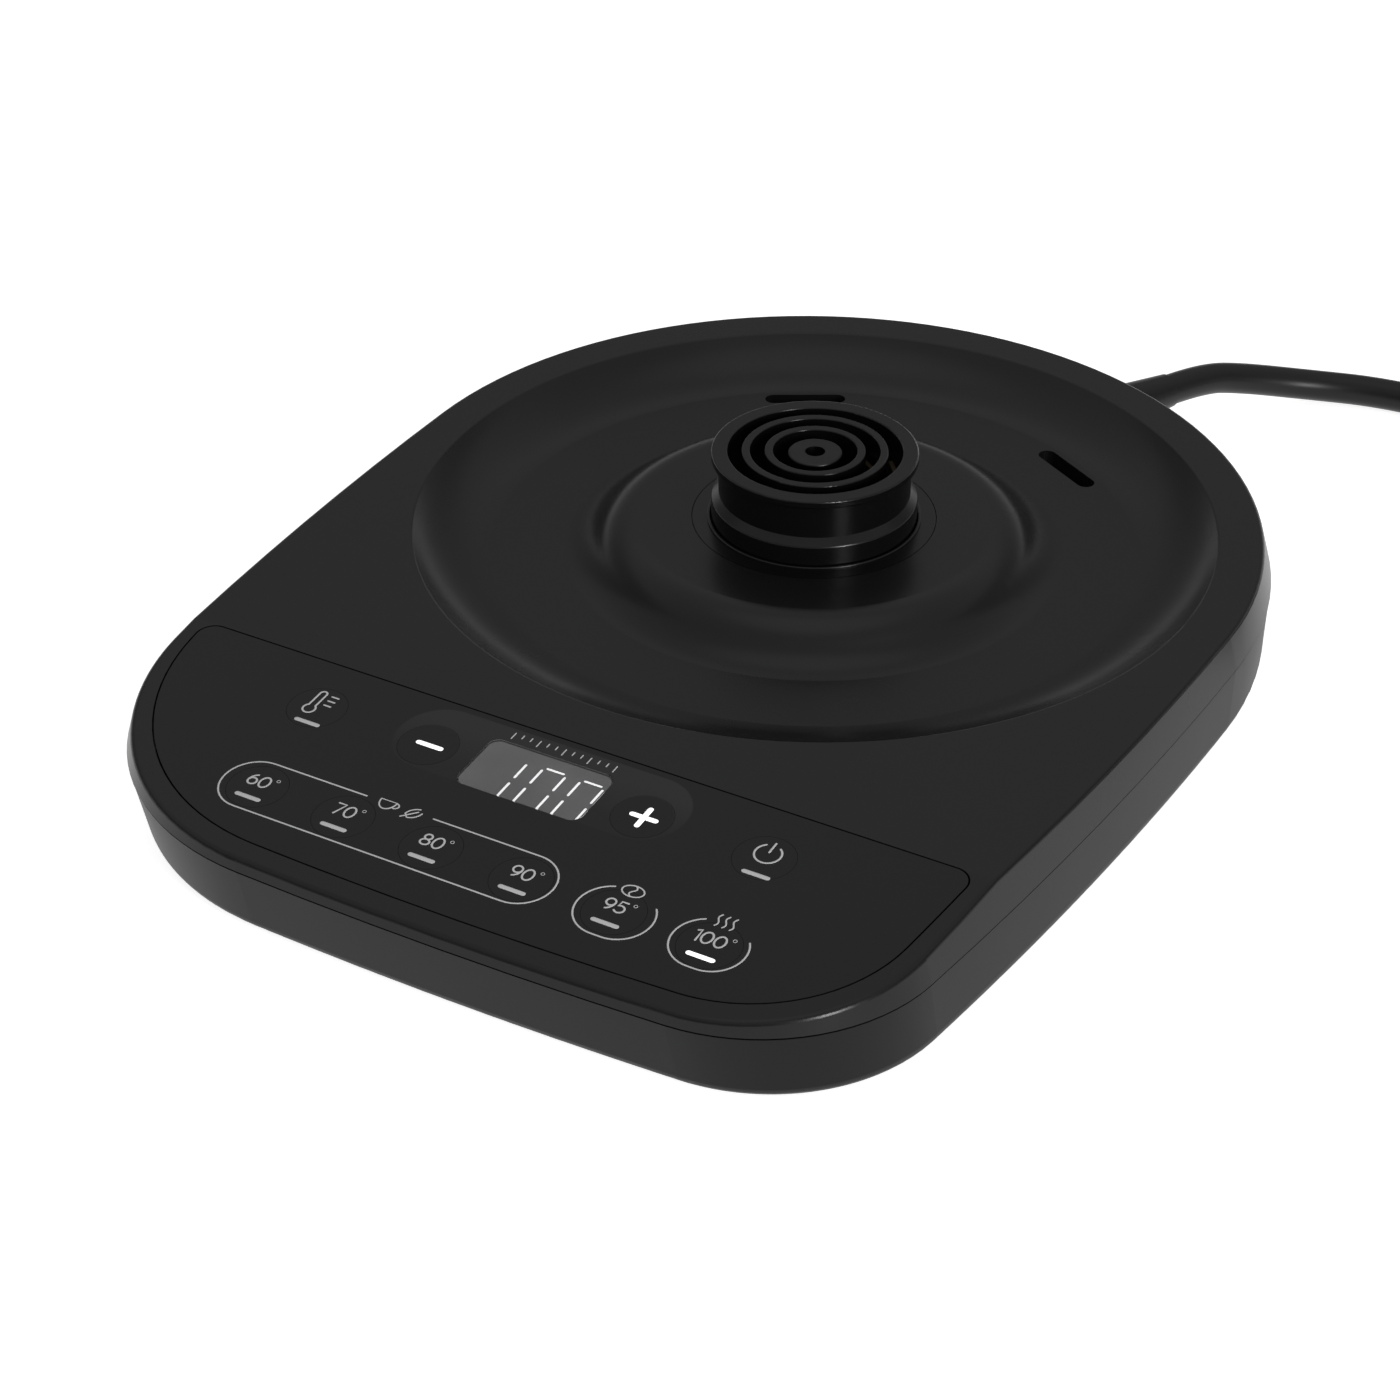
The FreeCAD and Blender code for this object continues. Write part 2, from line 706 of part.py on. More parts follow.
def connector_body():
    """The moulded post: flange, shaft, drum, neck and lip, two ringed slots and a centre well."""
    shaft = post_radius - hidden_step
    well = sleeve_radius + fit_gap
    corners = [
        (well, z_flange), (flange_radius, z_flange), (flange_radius, z_flange_top), (shaft, z_flange_top),
        (shaft, z_mound + drum_start), (post_radius, z_mound + drum_start),
        (post_radius, z_mound + drum_height), (neck_radius, z_mound + drum_height + drum_slope),
        (neck_radius, z_post - lip_height), (post_radius, z_post - lip_height), (post_radius, z_post),
        (lip_inner, z_post), (lip_inner, z_slot),
    ]
    for outer, inner in ring_radii:
        corners += [(outer, z_slot), (outer, z_post), (inner, z_post), (inner, z_slot)]
    corners.append((well, z_slot))
    body = turned(corners)

    def big_edge(middle, edge):
        away = math.hypot(middle.x, middle.y - axis_y)
        level = min(abs(middle.z - z) for z in (z_post, z_post - lip_height, z_mound + drum_height))
        return abs(away - post_radius) < near and level < near

    def ring_edge(middle, edge):
        away = math.hypot(middle.x, middle.y - axis_y)
        return abs(middle.z - z_post) < near and away < post_radius - 2 * post_round
    body = round_edges(body, post_round, big_edge)
    body = round_edges(body, ring_round, ring_edge)
    holes = []
    for place in connector_boss_places():
        foot = place + Vector(0, 0, z_flange)
        holes.append(Part.makeCylinder(screw_radius + loose_gap, flange_depth, foot))
    for radius, degrees in contact_tabs():
        holes.append(tab_slot(radius, degrees, z_flange, z_slot))
    return body.cut(holes)


def contact_rings():
    """Inner and outer radii of the two slots that hold a contact ring."""
    outer_walls = [lip_inner] + [inner for outer, inner in ring_radii[:-1]]
    return list(zip([outer for outer, inner in ring_radii], outer_walls))


def contact_tabs():
    """Radius and angle of the contact rings' tabs through the connector body."""
    return [((inner + outer) / 2, degrees)
            for (inner, outer), degrees in zip(contact_rings(), (line_angle, neutral_angle))]


def tab_slot(radius, degrees, low, high):
    """A slot that a contact's tab goes through."""
    slot = centred_box(radius, 0, low, blade_depth + 2 * loose_gap, blade_width + 2 * loose_gap, high - low)
    return spun(slot.translated(at(0, 0)), degrees)


def level_blade(start):
    """A level strip from a distance off the connector's axis out to where its wire is fixed."""
    return box((start, -blade_width / 2, z_blade), (blade_end_radius, blade_width / 2, z_blade + blade_depth))


def blade_from(radius, degrees):
    """A tab down from the given radius and a level blade out to the wire."""
    drop = centred_box(radius, 0, z_blade, blade_depth, blade_width, z_slot - z_blade + blade_depth / 2)
    level = level_blade(radius - blade_depth / 2)
    return spun(drop.fuse(level).translated(at(0, 0)), degrees)


def contact(index):
    """A contact ring on its slot's floor, with two upright springs and its tab."""
    inner, outer = contact_rings()[index]
    radius, degrees = contact_tabs()[index]
    band = ring(inner + loose_gap, outer - loose_gap, z_slot, z_slot + blade_depth)
    pieces = [blade_from(radius, degrees)]
    for turn in (90, 270):
        spring = centred_box(radius, 0, z_slot, blade_depth, blade_width, ring_slot_depth / 2)
        pieces.append(spun(spring.translated(at(0, 0)), degrees + turn))
    return band.fuse(pieces).removeSplitter()


def earth_sleeve():
    """The bored centre sleeve with its tab."""
    top = z_post - sleeve_drop
    sleeve = Part.makeCylinder(sleeve_radius, top - z_back, at(0, 0, z_back))
    sleeve = round_edges(sleeve, 2 * ring_round, lambda middle, edge: abs(middle.z - top) < near)
    bore = Part.makeCylinder(sleeve_bore, sleeve_bore_depth, at(0, 0, top - sleeve_bore_depth))
    stem = Part.makeCylinder(sleeve_bore, z_back - z_blade, at(0, 0, z_blade))
    blade = spun(level_blade(0).translated(at(0, 0)), earth_angle)
    return sleeve.cut(bore).fuse([stem, blade]).removeSplitter()


def connector_back():
    """The insulating cover under the connector, slotted for the tabs."""
    disc = ring(sleeve_radius + loose_gap, back_radius, z_back, z_flange)
    return disc.cut([tab_slot(radius, degrees, z_back, z_flange) for radius, degrees in contact_tabs()])


def connector_collar():
    """The flush ring round the post, with a raised bead at its inner edge."""
    inner = post_radius + loose_gap
    bead = inner + bead_width
    low = z_mound - collar_depth
    high = z_mound + bead_height
    collar = turned([(inner, low), (collar_radius, low), (collar_radius, z_mound),
                     (bead, z_mound), (bead, high), (inner, high)])
    return round_edges(collar, bead_width / 3, lambda middle, edge: abs(middle.z - high) < near)


def connector_seal():
    """The rubber ring between the connector's flange and the mound."""
    inner = post_radius - hidden_step + loose_gap
    outer = connector_boss_radius - screw_radius - post_wall - loose_gap
    return ring(inner, outer, z_flange_top, z_mound - wall)


def connector_screws():
    """The screws that hold the connector up under the mound."""
    head_z = z_flange - screw_head_height
    top = z_mound - wall - loose_gap
    return [screw(place, head_z, top, screw_radius, screw_head_radius, screw_head_height)
            for place in connector_boss_places()]


# Control panel


def key_places():
    """Name and place of every key in the panel's frame."""
    places = [("key_hold", -side_key_x, -side_key_v), ("key_start_stop", side_key_x, -side_key_v),
              ("key_minus", -step_key_x, -step_key_v), ("key_plus", step_key_x, -step_key_v)]
    for index, name in enumerate(preset_names):
        places.append((name, preset_first_x + preset_pitch * index, -preset_v))
    return places


def key_stem_end():
    """Lower end of a key's stem, just clear of its switch at full travel."""
    return -board_drop + switch_height + switch_height / 3 + key_travel + stop_gap


def control_panel():
    """The fascia: one tilted plate with a window and a stepped hole for every key."""
    plate = panel_prism(panel_inset, panel_y - panel_gap, panel_corner).common(panel_slab(-fascia_depth, 0))
    room = 2 * fit_gap
    window = rounded_plate(window_width + room, window_length + room, window_corner,
                           -fascia_depth, fascia_depth, -window_centre)
    lip = 2 * window_lip + 2 * loose_gap
    step = rounded_plate(window_width + lip, window_length + lip, window_corner, -fascia_depth, -window_depth,
                         -window_centre)
    cuts = [on_panel(window), on_panel(step)]
    pocket = key_radius + key_lip + pocket_gap
    for name, x, y in key_places():
        foot = Vector(x, y, -fascia_depth)
        cuts.append(on_panel(Part.makeCylinder(key_radius + fit_gap, fascia_depth, foot)))
        cuts.append(on_panel(Part.makeCylinder(pocket, fascia_depth - key_pad_depth, foot)))
    return plate.cut(cuts)


def key(x, y):
    """A flush round pad, a lip that holds it under the fascia, and a stem to its switch."""
    pad = Part.makeCylinder(key_radius, key_pad_depth + stop_gap, Vector(x, y, -key_pad_depth - stop_gap))
    lip_low = -fascia_depth
    lip = Part.makeCylinder(key_radius + key_lip, -key_pad_depth - stop_gap - lip_low, Vector(x, y, lip_low))
    stem = Part.makeCylinder(key_stem_radius, lip_low - key_stem_end(), Vector(x, y, key_stem_end()))
    return on_panel(pad.fuse([lip, stem]).removeSplitter())


def display_window():
    """The clear window, flush with the fascia, on a lip under it."""
    pane = rounded_plate(window_width, window_length, window_corner, -window_foot, 0, -window_centre)
    lip = rounded_plate(window_width + 2 * window_lip, window_length + 2 * window_lip, window_corner,
                        -fascia_depth, -window_depth, -window_centre)
    return on_panel(pane.fuse(lip).removeSplitter())


def lcd_glass():
    """The display glass."""
    return on_panel(centred_box(0, -window_centre, -lcd_drop - lcd_depth, lcd_width, lcd_length, lcd_depth))


def lcd_light():
    """The light guide under the display glass."""
    top = -lcd_drop - lcd_depth
    return on_panel(centred_box(0, -window_centre, -board_drop, light_width, light_length, top + board_drop))


def lcd_strips():
    """The two rubber contact strips between the display glass and the board."""
    height = board_drop - lcd_drop - lcd_depth
    offset = (lcd_length - strip_width) / 2 - loose_gap
    strips = []
    for side in (-1, 1):
        strip = centred_box(0, -window_centre + side * offset, -board_drop, light_width, strip_width, height)
        strips.append(on_panel(strip))
    return strips


def lcd_holder():
    """The frame that holds the display stack on the board and laps the glass."""
    inner_width = lcd_width + 2 * loose_gap
    inner_length = lcd_length + 2 * loose_gap
    sight_width = lcd_width - 2 * lcd_cover
    sight_length = lcd_length - 2 * lcd_cover
    room_height = board_drop - lcd_drop
    lap = lcd_drop - fascia_depth - key_travel - loose_gap  # stays clear of the pressed keys beside it
    edge = 2 * lcd_frame
    frame = centred_box(0, -window_centre, -board_drop, inner_width + edge, inner_length + edge,
                        room_height + lap)
    room = centred_box(0, -window_centre, -board_drop, inner_width, inner_length, room_height)
    sight = centred_box(0, -window_centre, -board_drop, sight_width, sight_length, board_drop)
    return on_panel(frame.cut(room).cut(sight))


def panel_gasket():
    """The thin seal between the fascia and its ledge."""
    frame = panel_prism(panel_inset, panel_y - panel_gap, panel_corner).cut(panel_opening())
    return frame.common(panel_slab(-fascia_depth - gasket_depth, -fascia_depth))


# Boards


def control_board():
    """The board that carries the switches, lights and display."""
    board = panel_prism(board_inset, panel_y + board_rear, panel_corner)
    board = board.common(panel_slab(-board_drop - board_depth, -board_drop))
    holes = []
    for x, y in board_post_places():
        foot = Vector(x, y, -board_drop - board_depth)
        holes.append(on_panel(Part.makeCylinder(small_screw_radius + fit_gap, board_depth, foot)))
    return board.cut(holes)


def board_screws():
    """The screws that hold the control board up to its posts."""
    solids = []
    low = -board_drop - board_depth - small_head_height
    for x, y in board_post_places():
        head = Part.makeCylinder(small_head_radius, small_head_height, Vector(x, y, low))
        shank = Part.makeCylinder(small_screw_radius, ledge_bottom() - loose_gap - low, Vector(x, y, low))
        solids.append(on_panel(head.fuse(shank).removeSplitter()))
    return solids


def key_switches():
    """A square switch with a round actuator under every key."""
    solids = []
    for name, x, y in key_places():
        body = centred_box(x, y, -board_drop, switch_side, switch_side, switch_height)
        foot = Vector(x, y, -board_drop)
        actuator = Part.makeCylinder(actuator_radius, switch_height + switch_height / 3, foot)
        solids.append(on_panel(body.fuse(actuator).removeSplitter()))
    return solids


def key_lights():
    """A small light on the board in front of every key's switch."""
    width, length, height = led_size
    return [on_panel(centred_box(x, y - led_offset, -board_drop, width, length, height))
            for name, x, y in key_places()]


def controller_chip():
    """The controller under the control board."""
    low = -board_drop - board_depth - chip_depth
    return on_panel(centred_box(0, -chip_v, low, chip_side, chip_side, chip_depth))


def buzzer():
    """The sounder under the control board, with its port."""
    foot = Vector(preset_first_x, -chip_v, -board_drop - board_depth - buzzer_depth)
    can = Part.makeCylinder(buzzer_radius, buzzer_depth, foot)
    return on_panel(can.cut(Part.makeCylinder(buzzer_radius / 6, buzzer_depth / 2, foot)))


def power_z():
    """Top of the power board."""
    return z_floor + power_board_lift + power_board_depth


def power_post_places():
    """Where the power board is screwed to the floor."""
    edge = small_screw_radius + post_wall
    return [at(power_left + edge, -power_front + edge), at(power_right - edge, -power_front + edge),
            at(power_right - edge, -power_rear - edge)]


def power_board():
    """The board with the relay and the low-voltage supply."""
    top = power_z()
    low = at(power_left, -power_front, top - power_board_depth)
    high = at(power_right, -power_rear, top)
    holes = []
    for place in power_post_places():
        foot = place + Vector(0, 0, top - power_board_depth)
        holes.append(Part.makeCylinder(small_screw_radius + fit_gap, power_board_depth, foot))
    return box(low, high).cut(holes)


def power_board_screws():
    """The screws that hold the power board down."""
    solids = []
    for place in power_post_places():
        foot = place + Vector(0, 0, z_floor + loose_gap)
        height = power_z() - foot.z
        shank = Part.makeCylinder(small_screw_radius, height, foot)
        head = Part.makeCylinder(small_head_radius, small_head_height, place + Vector(0, 0, power_z()))
        solids.append(shank.fuse(head).removeSplitter())
    return solids


def power_place(place):
    """A point on the power board, from its left and rear edges."""
    return at(power_left + place[0], -power_rear - place[1], power_z())


def power_block(size, place):
    """A block standing on the power board."""
    spot = power_place(place)
    return centred_box(spot.x, spot.y, spot.z, *size)


def relay():
    """The relay, with rounded upper edges."""
    block = power_block(relay_size, relay_place)
    top = power_z() + relay_size[2]
    return round_edges(block, pin_depth / 2, lambda middle, edge: abs(middle.z - top) < near)


def fuse():
    """The standing fuse."""
    return Part.makeCylinder(fuse_radius, fuse_height, power_place(fuse_place))


def board_header():
    """The pin strip that joins the two boards."""
    spot = power_place(header_place)
    front = spot.y - header_depth / 2
    under = (board_drop + board_depth) / math.cos(math.radians(panel_tilt))
    top = top_height(front) - under - stop_gap
    return centred_box(spot.x, spot.y, spot.z, header_width, header_depth, top - spot.z)


def terminal_tabs():
    """The wire tabs along the power board's left edge."""
    return [power_block((tab_depth, tab_width, tab_height), (tab_x, y)) for y in tab_y]


def line_tab_end():
    """Where the line wire meets its tab's rear edge."""
    return power_place((tab_x, tab_y[0] - tab_width / 2)) + Vector(0, 0, tab_wire_height)


def load_tab_end():
    """Where the load wire meets its tab's left face."""
    return power_place((tab_x - tab_depth / 2, tab_y[-1])) + Vector(0, 0, tab_wire_height)


def blade_end(degrees):
    """Where a wire meets one of the connector's blades."""
    return polar(blade_end_radius, degrees, z_blade + blade_depth / 2)


# Wires and cord


def route_edges(points):
    """Straight runs joined by arcs, each as large as its two runs allow, and the arcs' radii."""
    edges = []
    radii = []
    last = points[0]
    for before, corner, after in zip(points, points[1:], points[2:]):
        into = corner - before
        away = after - corner
        cut = 0.45 * min(into.Length, away.Length)
        half = into.getAngle(away) / 2
        radius = cut / math.tan(half)
        into.normalize()
        away.normalize()
        inward = away - into
        inward.normalize()
        start = corner - into * cut
        end = corner + away * cut
        middle = corner + inward * (radius / math.cos(half) - radius)
        edges.append(Part.LineSegment(last, start).toShape())
        edges.append(Part.Arc(start, middle, end).toShape())
        radii.append(radius)
        last = end
    edges.append(Part.LineSegment(last, points[-1]).toShape())
    return edges, radii


def pipe(edges, radius):
    """A round solid along joined edges."""
    path = Part.Wire(edges)
    start = edges[0].valueAt(edges[0].FirstParameter)
    way = edges[0].tangentAt(edges[0].FirstParameter)
    shell = Part.BRepOffsetAPI.MakePipeShell(path)
    shell.add(Part.Wire(Part.makeCircle(radius, start, way)))
    shell.build()
    shell.makeSolid()
    return shell.shape(), path.Length


def tube(name, points, radius):
    """A wire or cord through points, with its tightest bend and its volume check printed."""
    edges, radii = route_edges(points)
    solid, length = pipe(edges, radius)
    share = solid.Volume / (math.pi * radius ** 2 * length)
    print(name, "length", round(length, 1), "radii", [round(r, 1) for r in radii], "volume", round(share, 4))
    return solid


def wire_start(degrees):
    """The first two points of a wire, straight out of the sheath's inner end."""
    angle = math.radians(degrees)
    x = wire_ring * math.cos(angle)
    z = wire_ring * math.sin(angle)
    return [entry_point(wire_fan, x, z), entry_point(wire_fan - wire_lead, x, z)]


def beside(place, x, y, z):
    """A point off another in plan, at its own height."""
    return Vector(place.x + x, place.y + y, z)


def wires():
    """The four wires by name."""
    line_end = line_tab_end()
    load_end = load_tab_end()
    line_lead = [line_end + Vector(0, wire_lead, 0), line_end]
    load_lead = [load_end, load_end - Vector(wire_lead, 0, 0)]
    line_end_run = [beside(line_end, *p) for p in line_tail]
    load_start_run = [beside(load_end, *p) for p in load_head]
    routes = {
        "wire_line": wire_start(30) + [at(*p) for p in line_route] + line_end_run + line_lead,
        "wire_neutral": wire_start(150) + [at(*p) for p in neutral_route] + [blade_end(neutral_angle)],
        "wire_earth": wire_start(270) + [at(*p) for p in earth_route] + [blade_end(earth_angle)],
        "wire_load": load_lead + load_start_run + [at(*p) for p in load_route] + [blade_end(line_angle)],
    }
    return {name: tube(name, points, wire_radius) for name, points in routes.items()}


def strain_relief():
    """The cord's moulded boot: a flange inside the wall, a round neck through it and a grooved taper."""
    flange = along_cord(boot_flange, sheath_back, boot_back)
    shoulder = wall_front + wall
    neck = along_cord(boot_radius, boot_back, shoulder)
    foot = Vector(0, shoulder, entry_height)
    cone = Part.makeCone(boot_radius, boot_tip_radius, boot_tip - shoulder, foot, Vector(0, 1, 0))
    pitch = (boot_tip - shoulder) / (2 * boot_groove_count + 1)
    for index in range(boot_groove_count):
        y = shoulder + pitch * (index + 0.75)
        lean = (boot_radius - boot_tip_radius) / (boot_tip - shoulder)
        inner = boot_radius - lean * (y - shoulder) - boot_groove
        band = Part.makeCylinder(2 * boot_radius, pitch / 2, Vector(0, y, entry_height), Vector(0, 1, 0))
        core = Part.makeCylinder(inner, pitch / 2, Vector(0, y, entry_height), Vector(0, 1, 0))
        cone = cone.cut(band.cut(core))
    return entry_frame(cone).fuse([flange, neck]).removeSplitter()


def sheath_end():
    """The cord's sheath inside the housing, up to where its wires part."""
    return along_cord(cord_radius, wire_fan, sheath_back)


def cord_clamp():
    """The bridge that holds the sheath down on its saddle."""
    low = entry_height + loose_gap
    ears = centred_box(0, clamp_y, low, clamp_span, clamp_length, clamp_ear_depth)
    bridge = centred_box(0, clamp_y, low, clamp_bridge, clamp_length, clamp_bridge_height)
    bar = ears.fuse(bridge).removeSplitter()
    for side in (-1, 1):
        hole = Vector(side * clamp_screw_offset, clamp_y, low)
        bar = bar.cut(Part.makeCylinder(screw_radius + loose_gap, clamp_ear_depth, hole))
    groove = along_cord(cord_radius + fit_gap, clamp_y - clamp_length, clamp_y + clamp_length)
    return entry_frame(bar).cut(groove)


def clamp_screws():
    """The screws that hold the clamp down."""
    solids = []
    top = entry_height + loose_gap + clamp_ear_depth
    for side in (-1, 1):
        foot = Vector(side * clamp_screw_offset, clamp_y, z_floor + loose_gap)
        shank = Part.makeCylinder(screw_radius, top - foot.z, foot)
        seat = Vector(foot.x, foot.y, top)
        head = Part.makeCylinder(screw_head_radius - loose_gap, screw_head_height, seat)
        solids.append(entry_frame(shank.fuse(head).removeSplitter()))
    return solids


def coil_turns():
    """How many turns the coil has."""
    return coil_turns_in + coil_turns_climb + coil_turns_out


def coil_centre():
    """The coil's middle, on the surface."""
    return beside(entry_point(boot_tip), *coil_place, 0)


def coil_point(turn):
    """The coil's path: in on the lower layer, up in half a turn, and out on the upper layer."""
    inner = coil_outer - coil_pitch * coil_turns_in
    climb = min(max((turn - coil_turns_in) / coil_turns_climb, 0), 1)
    if turn < coil_turns_in:
        radius = coil_outer - coil_pitch * turn
    else:
        radius = inner + coil_pitch * max(turn - coil_turns_in - coil_turns_climb, 0)
    angle = math.radians(coil_start_angle - 360 * turn)
    z = cord_radius + coil_lift + coil_layer * climb * climb * (3 - 2 * climb)
    return beside(coil_centre(), radius * math.cos(angle), radius * math.sin(angle), z)


def coil_way(turn):
    """The coil's direction, level at both ends."""
    step = 1 / 32
    way = coil_point(turn + step) - coil_point(turn - step)
    if turn in (0, coil_turns()):
        way.z = 0
    return way.normalize()


def arc_from(start, way, end):
    """An arc that leaves start along way and ends at end."""
    chord = end - start
    along = chord / chord.Length
    side = way - along * way.dot(along)
    side.normalize()
    rise = chord.Length / 2 * math.tan(way.getAngle(chord) / 2)
    return Part.Arc(start, start + chord / 2 + side * rise, end).toShape()


def biarc(start, start_way, end, end_way):
    """Two arcs that run into each other, from one point and direction to another."""
    span = end - start
    both = start_way + end_way
    spread = 2 * (1 - start_way.dot(end_way))
    reach = (-span.dot(both) + math.sqrt(span.dot(both) ** 2 + spread * span.dot(span))) / spread
    middle = (start + start_way * reach + end - end_way * reach) / 2
    return [arc_from(start, start_way, middle), arc_from(end, end_way * -1, middle)]


def coil_stops():
    """The coil's turns at every quarter, and at its end."""
    stops = [0.25 * index for index in range(int(coil_turns() / 0.25) + 1)]
    return stops if stops[-1] == coil_turns() else stops + [coil_turns()]


def coil_ends():
    """The coil's two end points, past its straight leads."""
    lead = coil_point(0) - coil_way(0) * (2 * cord_radius)
    return lead, coil_point(coil_turns()) + coil_way(coil_turns()) * coil_tail


def cord_coil():
    """The put-away length: one tube with its loops, straight at both ends, with its least gap printed."""
    stops = coil_stops()
    lead, tail = coil_ends()
    edges = [Part.LineSegment(lead, coil_point(0)).toShape()]
    for one, two in zip(stops, stops[1:]):
        edges.extend(biarc(coil_point(one), coil_way(one), coil_point(two), coil_way(two)))
    edges.append(Part.LineSegment(coil_point(stops[-1]), tail).toShape())
    solid, length = pipe(Part.__sortEdges__(edges), cord_radius)
    points = [point for edge in edges for point in edge.discretize(16)]
    least = coil_pitch
    for index, one in enumerate(points):
        for two in points[index + 1:]:
            apart = one.distanceToPoint(two)
            if apart < least and abs(points.index(two) - index) > 32:
                least = apart
    share = solid.Volume / (math.pi * cord_radius ** 2 * length)
    gap = round(least - 2 * cord_radius, 2)
    print("cord_coil length", round(length, 1), "least gap", gap, "volume", round(share, 4))
    return solid


def power_cord():
    """The free stretch of cord, from the strain relief to the coil."""
    tip = entry_point(boot_tip)
    out = entry_point(boot_tip + cord_lead)
    lead = coil_ends()[0]
    last = lead - coil_way(0) * cord_approach
    free = [beside(tip, *p) for p in cord_route]
    return tube("power_cord", [tip, out] + free + [last, lead], cord_radius)


def cord_tie():
    """The strap round the coil's strands."""
    centre = coil_centre()
    angle = coil_start_angle - 360 * tie_turn
    near = []
    for step in range(int(coil_turns() * 144) + 1):
        turn = step / 144
        away = (turn - tie_turn) % 1
        if min(away, 1 - away) < 0.03:
            flat = coil_point(turn) - centre
            near.append(math.hypot(flat.x, flat.y))
    low = min(near) - cord_radius - tie_clear
    high = max(near) + cord_radius + tie_clear
    top = 2 * cord_radius + coil_lift + coil_layer + coil_lift - tie_depth
    half = tie_width / 2
    outside = box((low - tie_depth, -half, 0), (high + tie_depth, half, top + tie_depth))
    inside = box((low, -half, tie_depth), (high, half, top))
    strap = outside.cut(inside).translated(centre)
    return strap.rotated(centre, Vector(0, 0, 1), angle)


def plug_frame(shape):
    """Moves a shape from the plug's own frame, where the cord comes in along +Y at the origin."""
    way = coil_way(coil_turns())
    place = Placement(coil_ends()[1], Rotation(Vector(0, 0, 1), math.degrees(math.atan2(-way.x, way.y))))
    return shape.transformed(place.toMatrix(), True)


def plug_body():
    """The moulded plug, lying on the surface, with its tapered boot."""
    half = coil_ends()[1].z
    front = plug_boot_length + plug_length
    body = box((-plug_width / 2, plug_boot_length, -half), (plug_width / 2, front, half))
    body = body.makeFillet(plug_round, body.Edges)
    boot_end = plug_boot_length + plug_round
    boot = Part.makeCone(boot_tip_radius, plug_boot_radius, boot_end, Vector(0, 0, 0), Vector(0, 1, 0))
    return plug_frame(body.fuse(boot).removeSplitter())


def plug_pins():
    """Two flat pins and a round earth pin, standing on the plug's face."""
    face = plug_boot_length + plug_length
    solids = []
    for side in (-1, 1):
        low = (side * pin_offset - pin_depth / 2, face, 0)
        high = (side * pin_offset + pin_depth / 2, face + pin_length, pin_width)
        solids.append(plug_frame(box(low, high)))
    foot = Vector(0, face, -earth_pin_offset)
    earth = Part.makeCylinder(earth_pin_radius, earth_pin_length, foot, Vector(0, 1, 0))
    solids.append(plug_frame(earth))
    return solids


def main():
    os.makedirs("parts", exist_ok=True)
    save("upper_housing", upper_housing())
    save("lower_housing", lower_housing())
    save("feet", *feet())
    save("housing_screws", *housing_screws())
    save("connector_body", connector_body())
    save("connector_collar", connector_collar())
    save("connector_seal", connector_seal())
    save("connector_back", connector_back())
    save("line_contact", contact(0))
    save("neutral_contact", contact(1))
    save("earth_sleeve", earth_sleeve())
    save("connector_screws", *connector_screws())
    save("control_panel", control_panel())
    save("panel_gasket", panel_gasket())
    save("display_window", display_window())
    for name, x, y in key_places():
        save(name, key(x, y))
    save("lcd_glass", lcd_glass())
    save("lcd_light", lcd_light())
    save("lcd_strips", *lcd_strips())
    save("lcd_holder", lcd_holder())
    save("control_board", control_board())
    save("board_screws", *board_screws())
    save("key_switches", *key_switches())
    save("key_lights", *key_lights())
    save("controller_chip", controller_chip())
    save("buzzer", buzzer())
    save("power_board", power_board())
    save("power_board_screws", *power_board_screws())
    save("relay", relay())
    save("transformer", power_block(transformer_size, transformer_place))
    save("capacitor", power_block(capacitor_size, capacitor_place))
    save("fuse", fuse())
    save("board_header", board_header())
    save("terminal_tabs", *terminal_tabs())
    for name, solid in wires().items():
        save(name, solid)
    save("sheath_end", sheath_end())
    save("cord_clamp", cord_clamp())
    save("clamp_screws", *clamp_screws())
    save("strain_relief", strain_relief())
    save("power_cord", power_cord())
    save("cord_coil", cord_coil())
    save("cord_tie", cord_tie())
    save("plug_body", plug_body())
    save("plug_pins", *plug_pins())


main()
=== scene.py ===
import math

import bmesh
import bpy
from bpy.props import FloatProperty, FloatVectorProperty, IntProperty, PointerProperty
from mathutils import Matrix, Vector


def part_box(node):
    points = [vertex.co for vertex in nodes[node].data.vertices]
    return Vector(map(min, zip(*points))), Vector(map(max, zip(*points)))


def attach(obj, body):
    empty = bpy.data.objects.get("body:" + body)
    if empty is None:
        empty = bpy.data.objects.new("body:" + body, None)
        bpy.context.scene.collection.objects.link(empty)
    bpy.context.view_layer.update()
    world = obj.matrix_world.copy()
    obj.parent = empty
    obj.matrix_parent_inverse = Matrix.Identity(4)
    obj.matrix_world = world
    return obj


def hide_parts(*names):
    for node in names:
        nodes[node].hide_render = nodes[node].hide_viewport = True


bl_info = {
    "name": "Kettle power base",
    "version": (1, 0, 0),
    "blender": (4, 5, 0),
    "location": "View3D > Sidebar > Kettle base",
    "description": "Finishes, panel marks, display, cord and studio for an electric kettle's power base",
    "category": "Object",
}

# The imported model, its pieces and its box come first, because sizes below are read from them
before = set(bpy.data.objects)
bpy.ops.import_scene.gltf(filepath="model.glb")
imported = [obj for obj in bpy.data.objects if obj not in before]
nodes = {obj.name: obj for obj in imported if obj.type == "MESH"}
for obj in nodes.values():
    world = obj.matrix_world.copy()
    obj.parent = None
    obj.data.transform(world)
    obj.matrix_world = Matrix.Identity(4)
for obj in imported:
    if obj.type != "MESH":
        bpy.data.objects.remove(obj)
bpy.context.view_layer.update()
mm = 0.001


# Settings


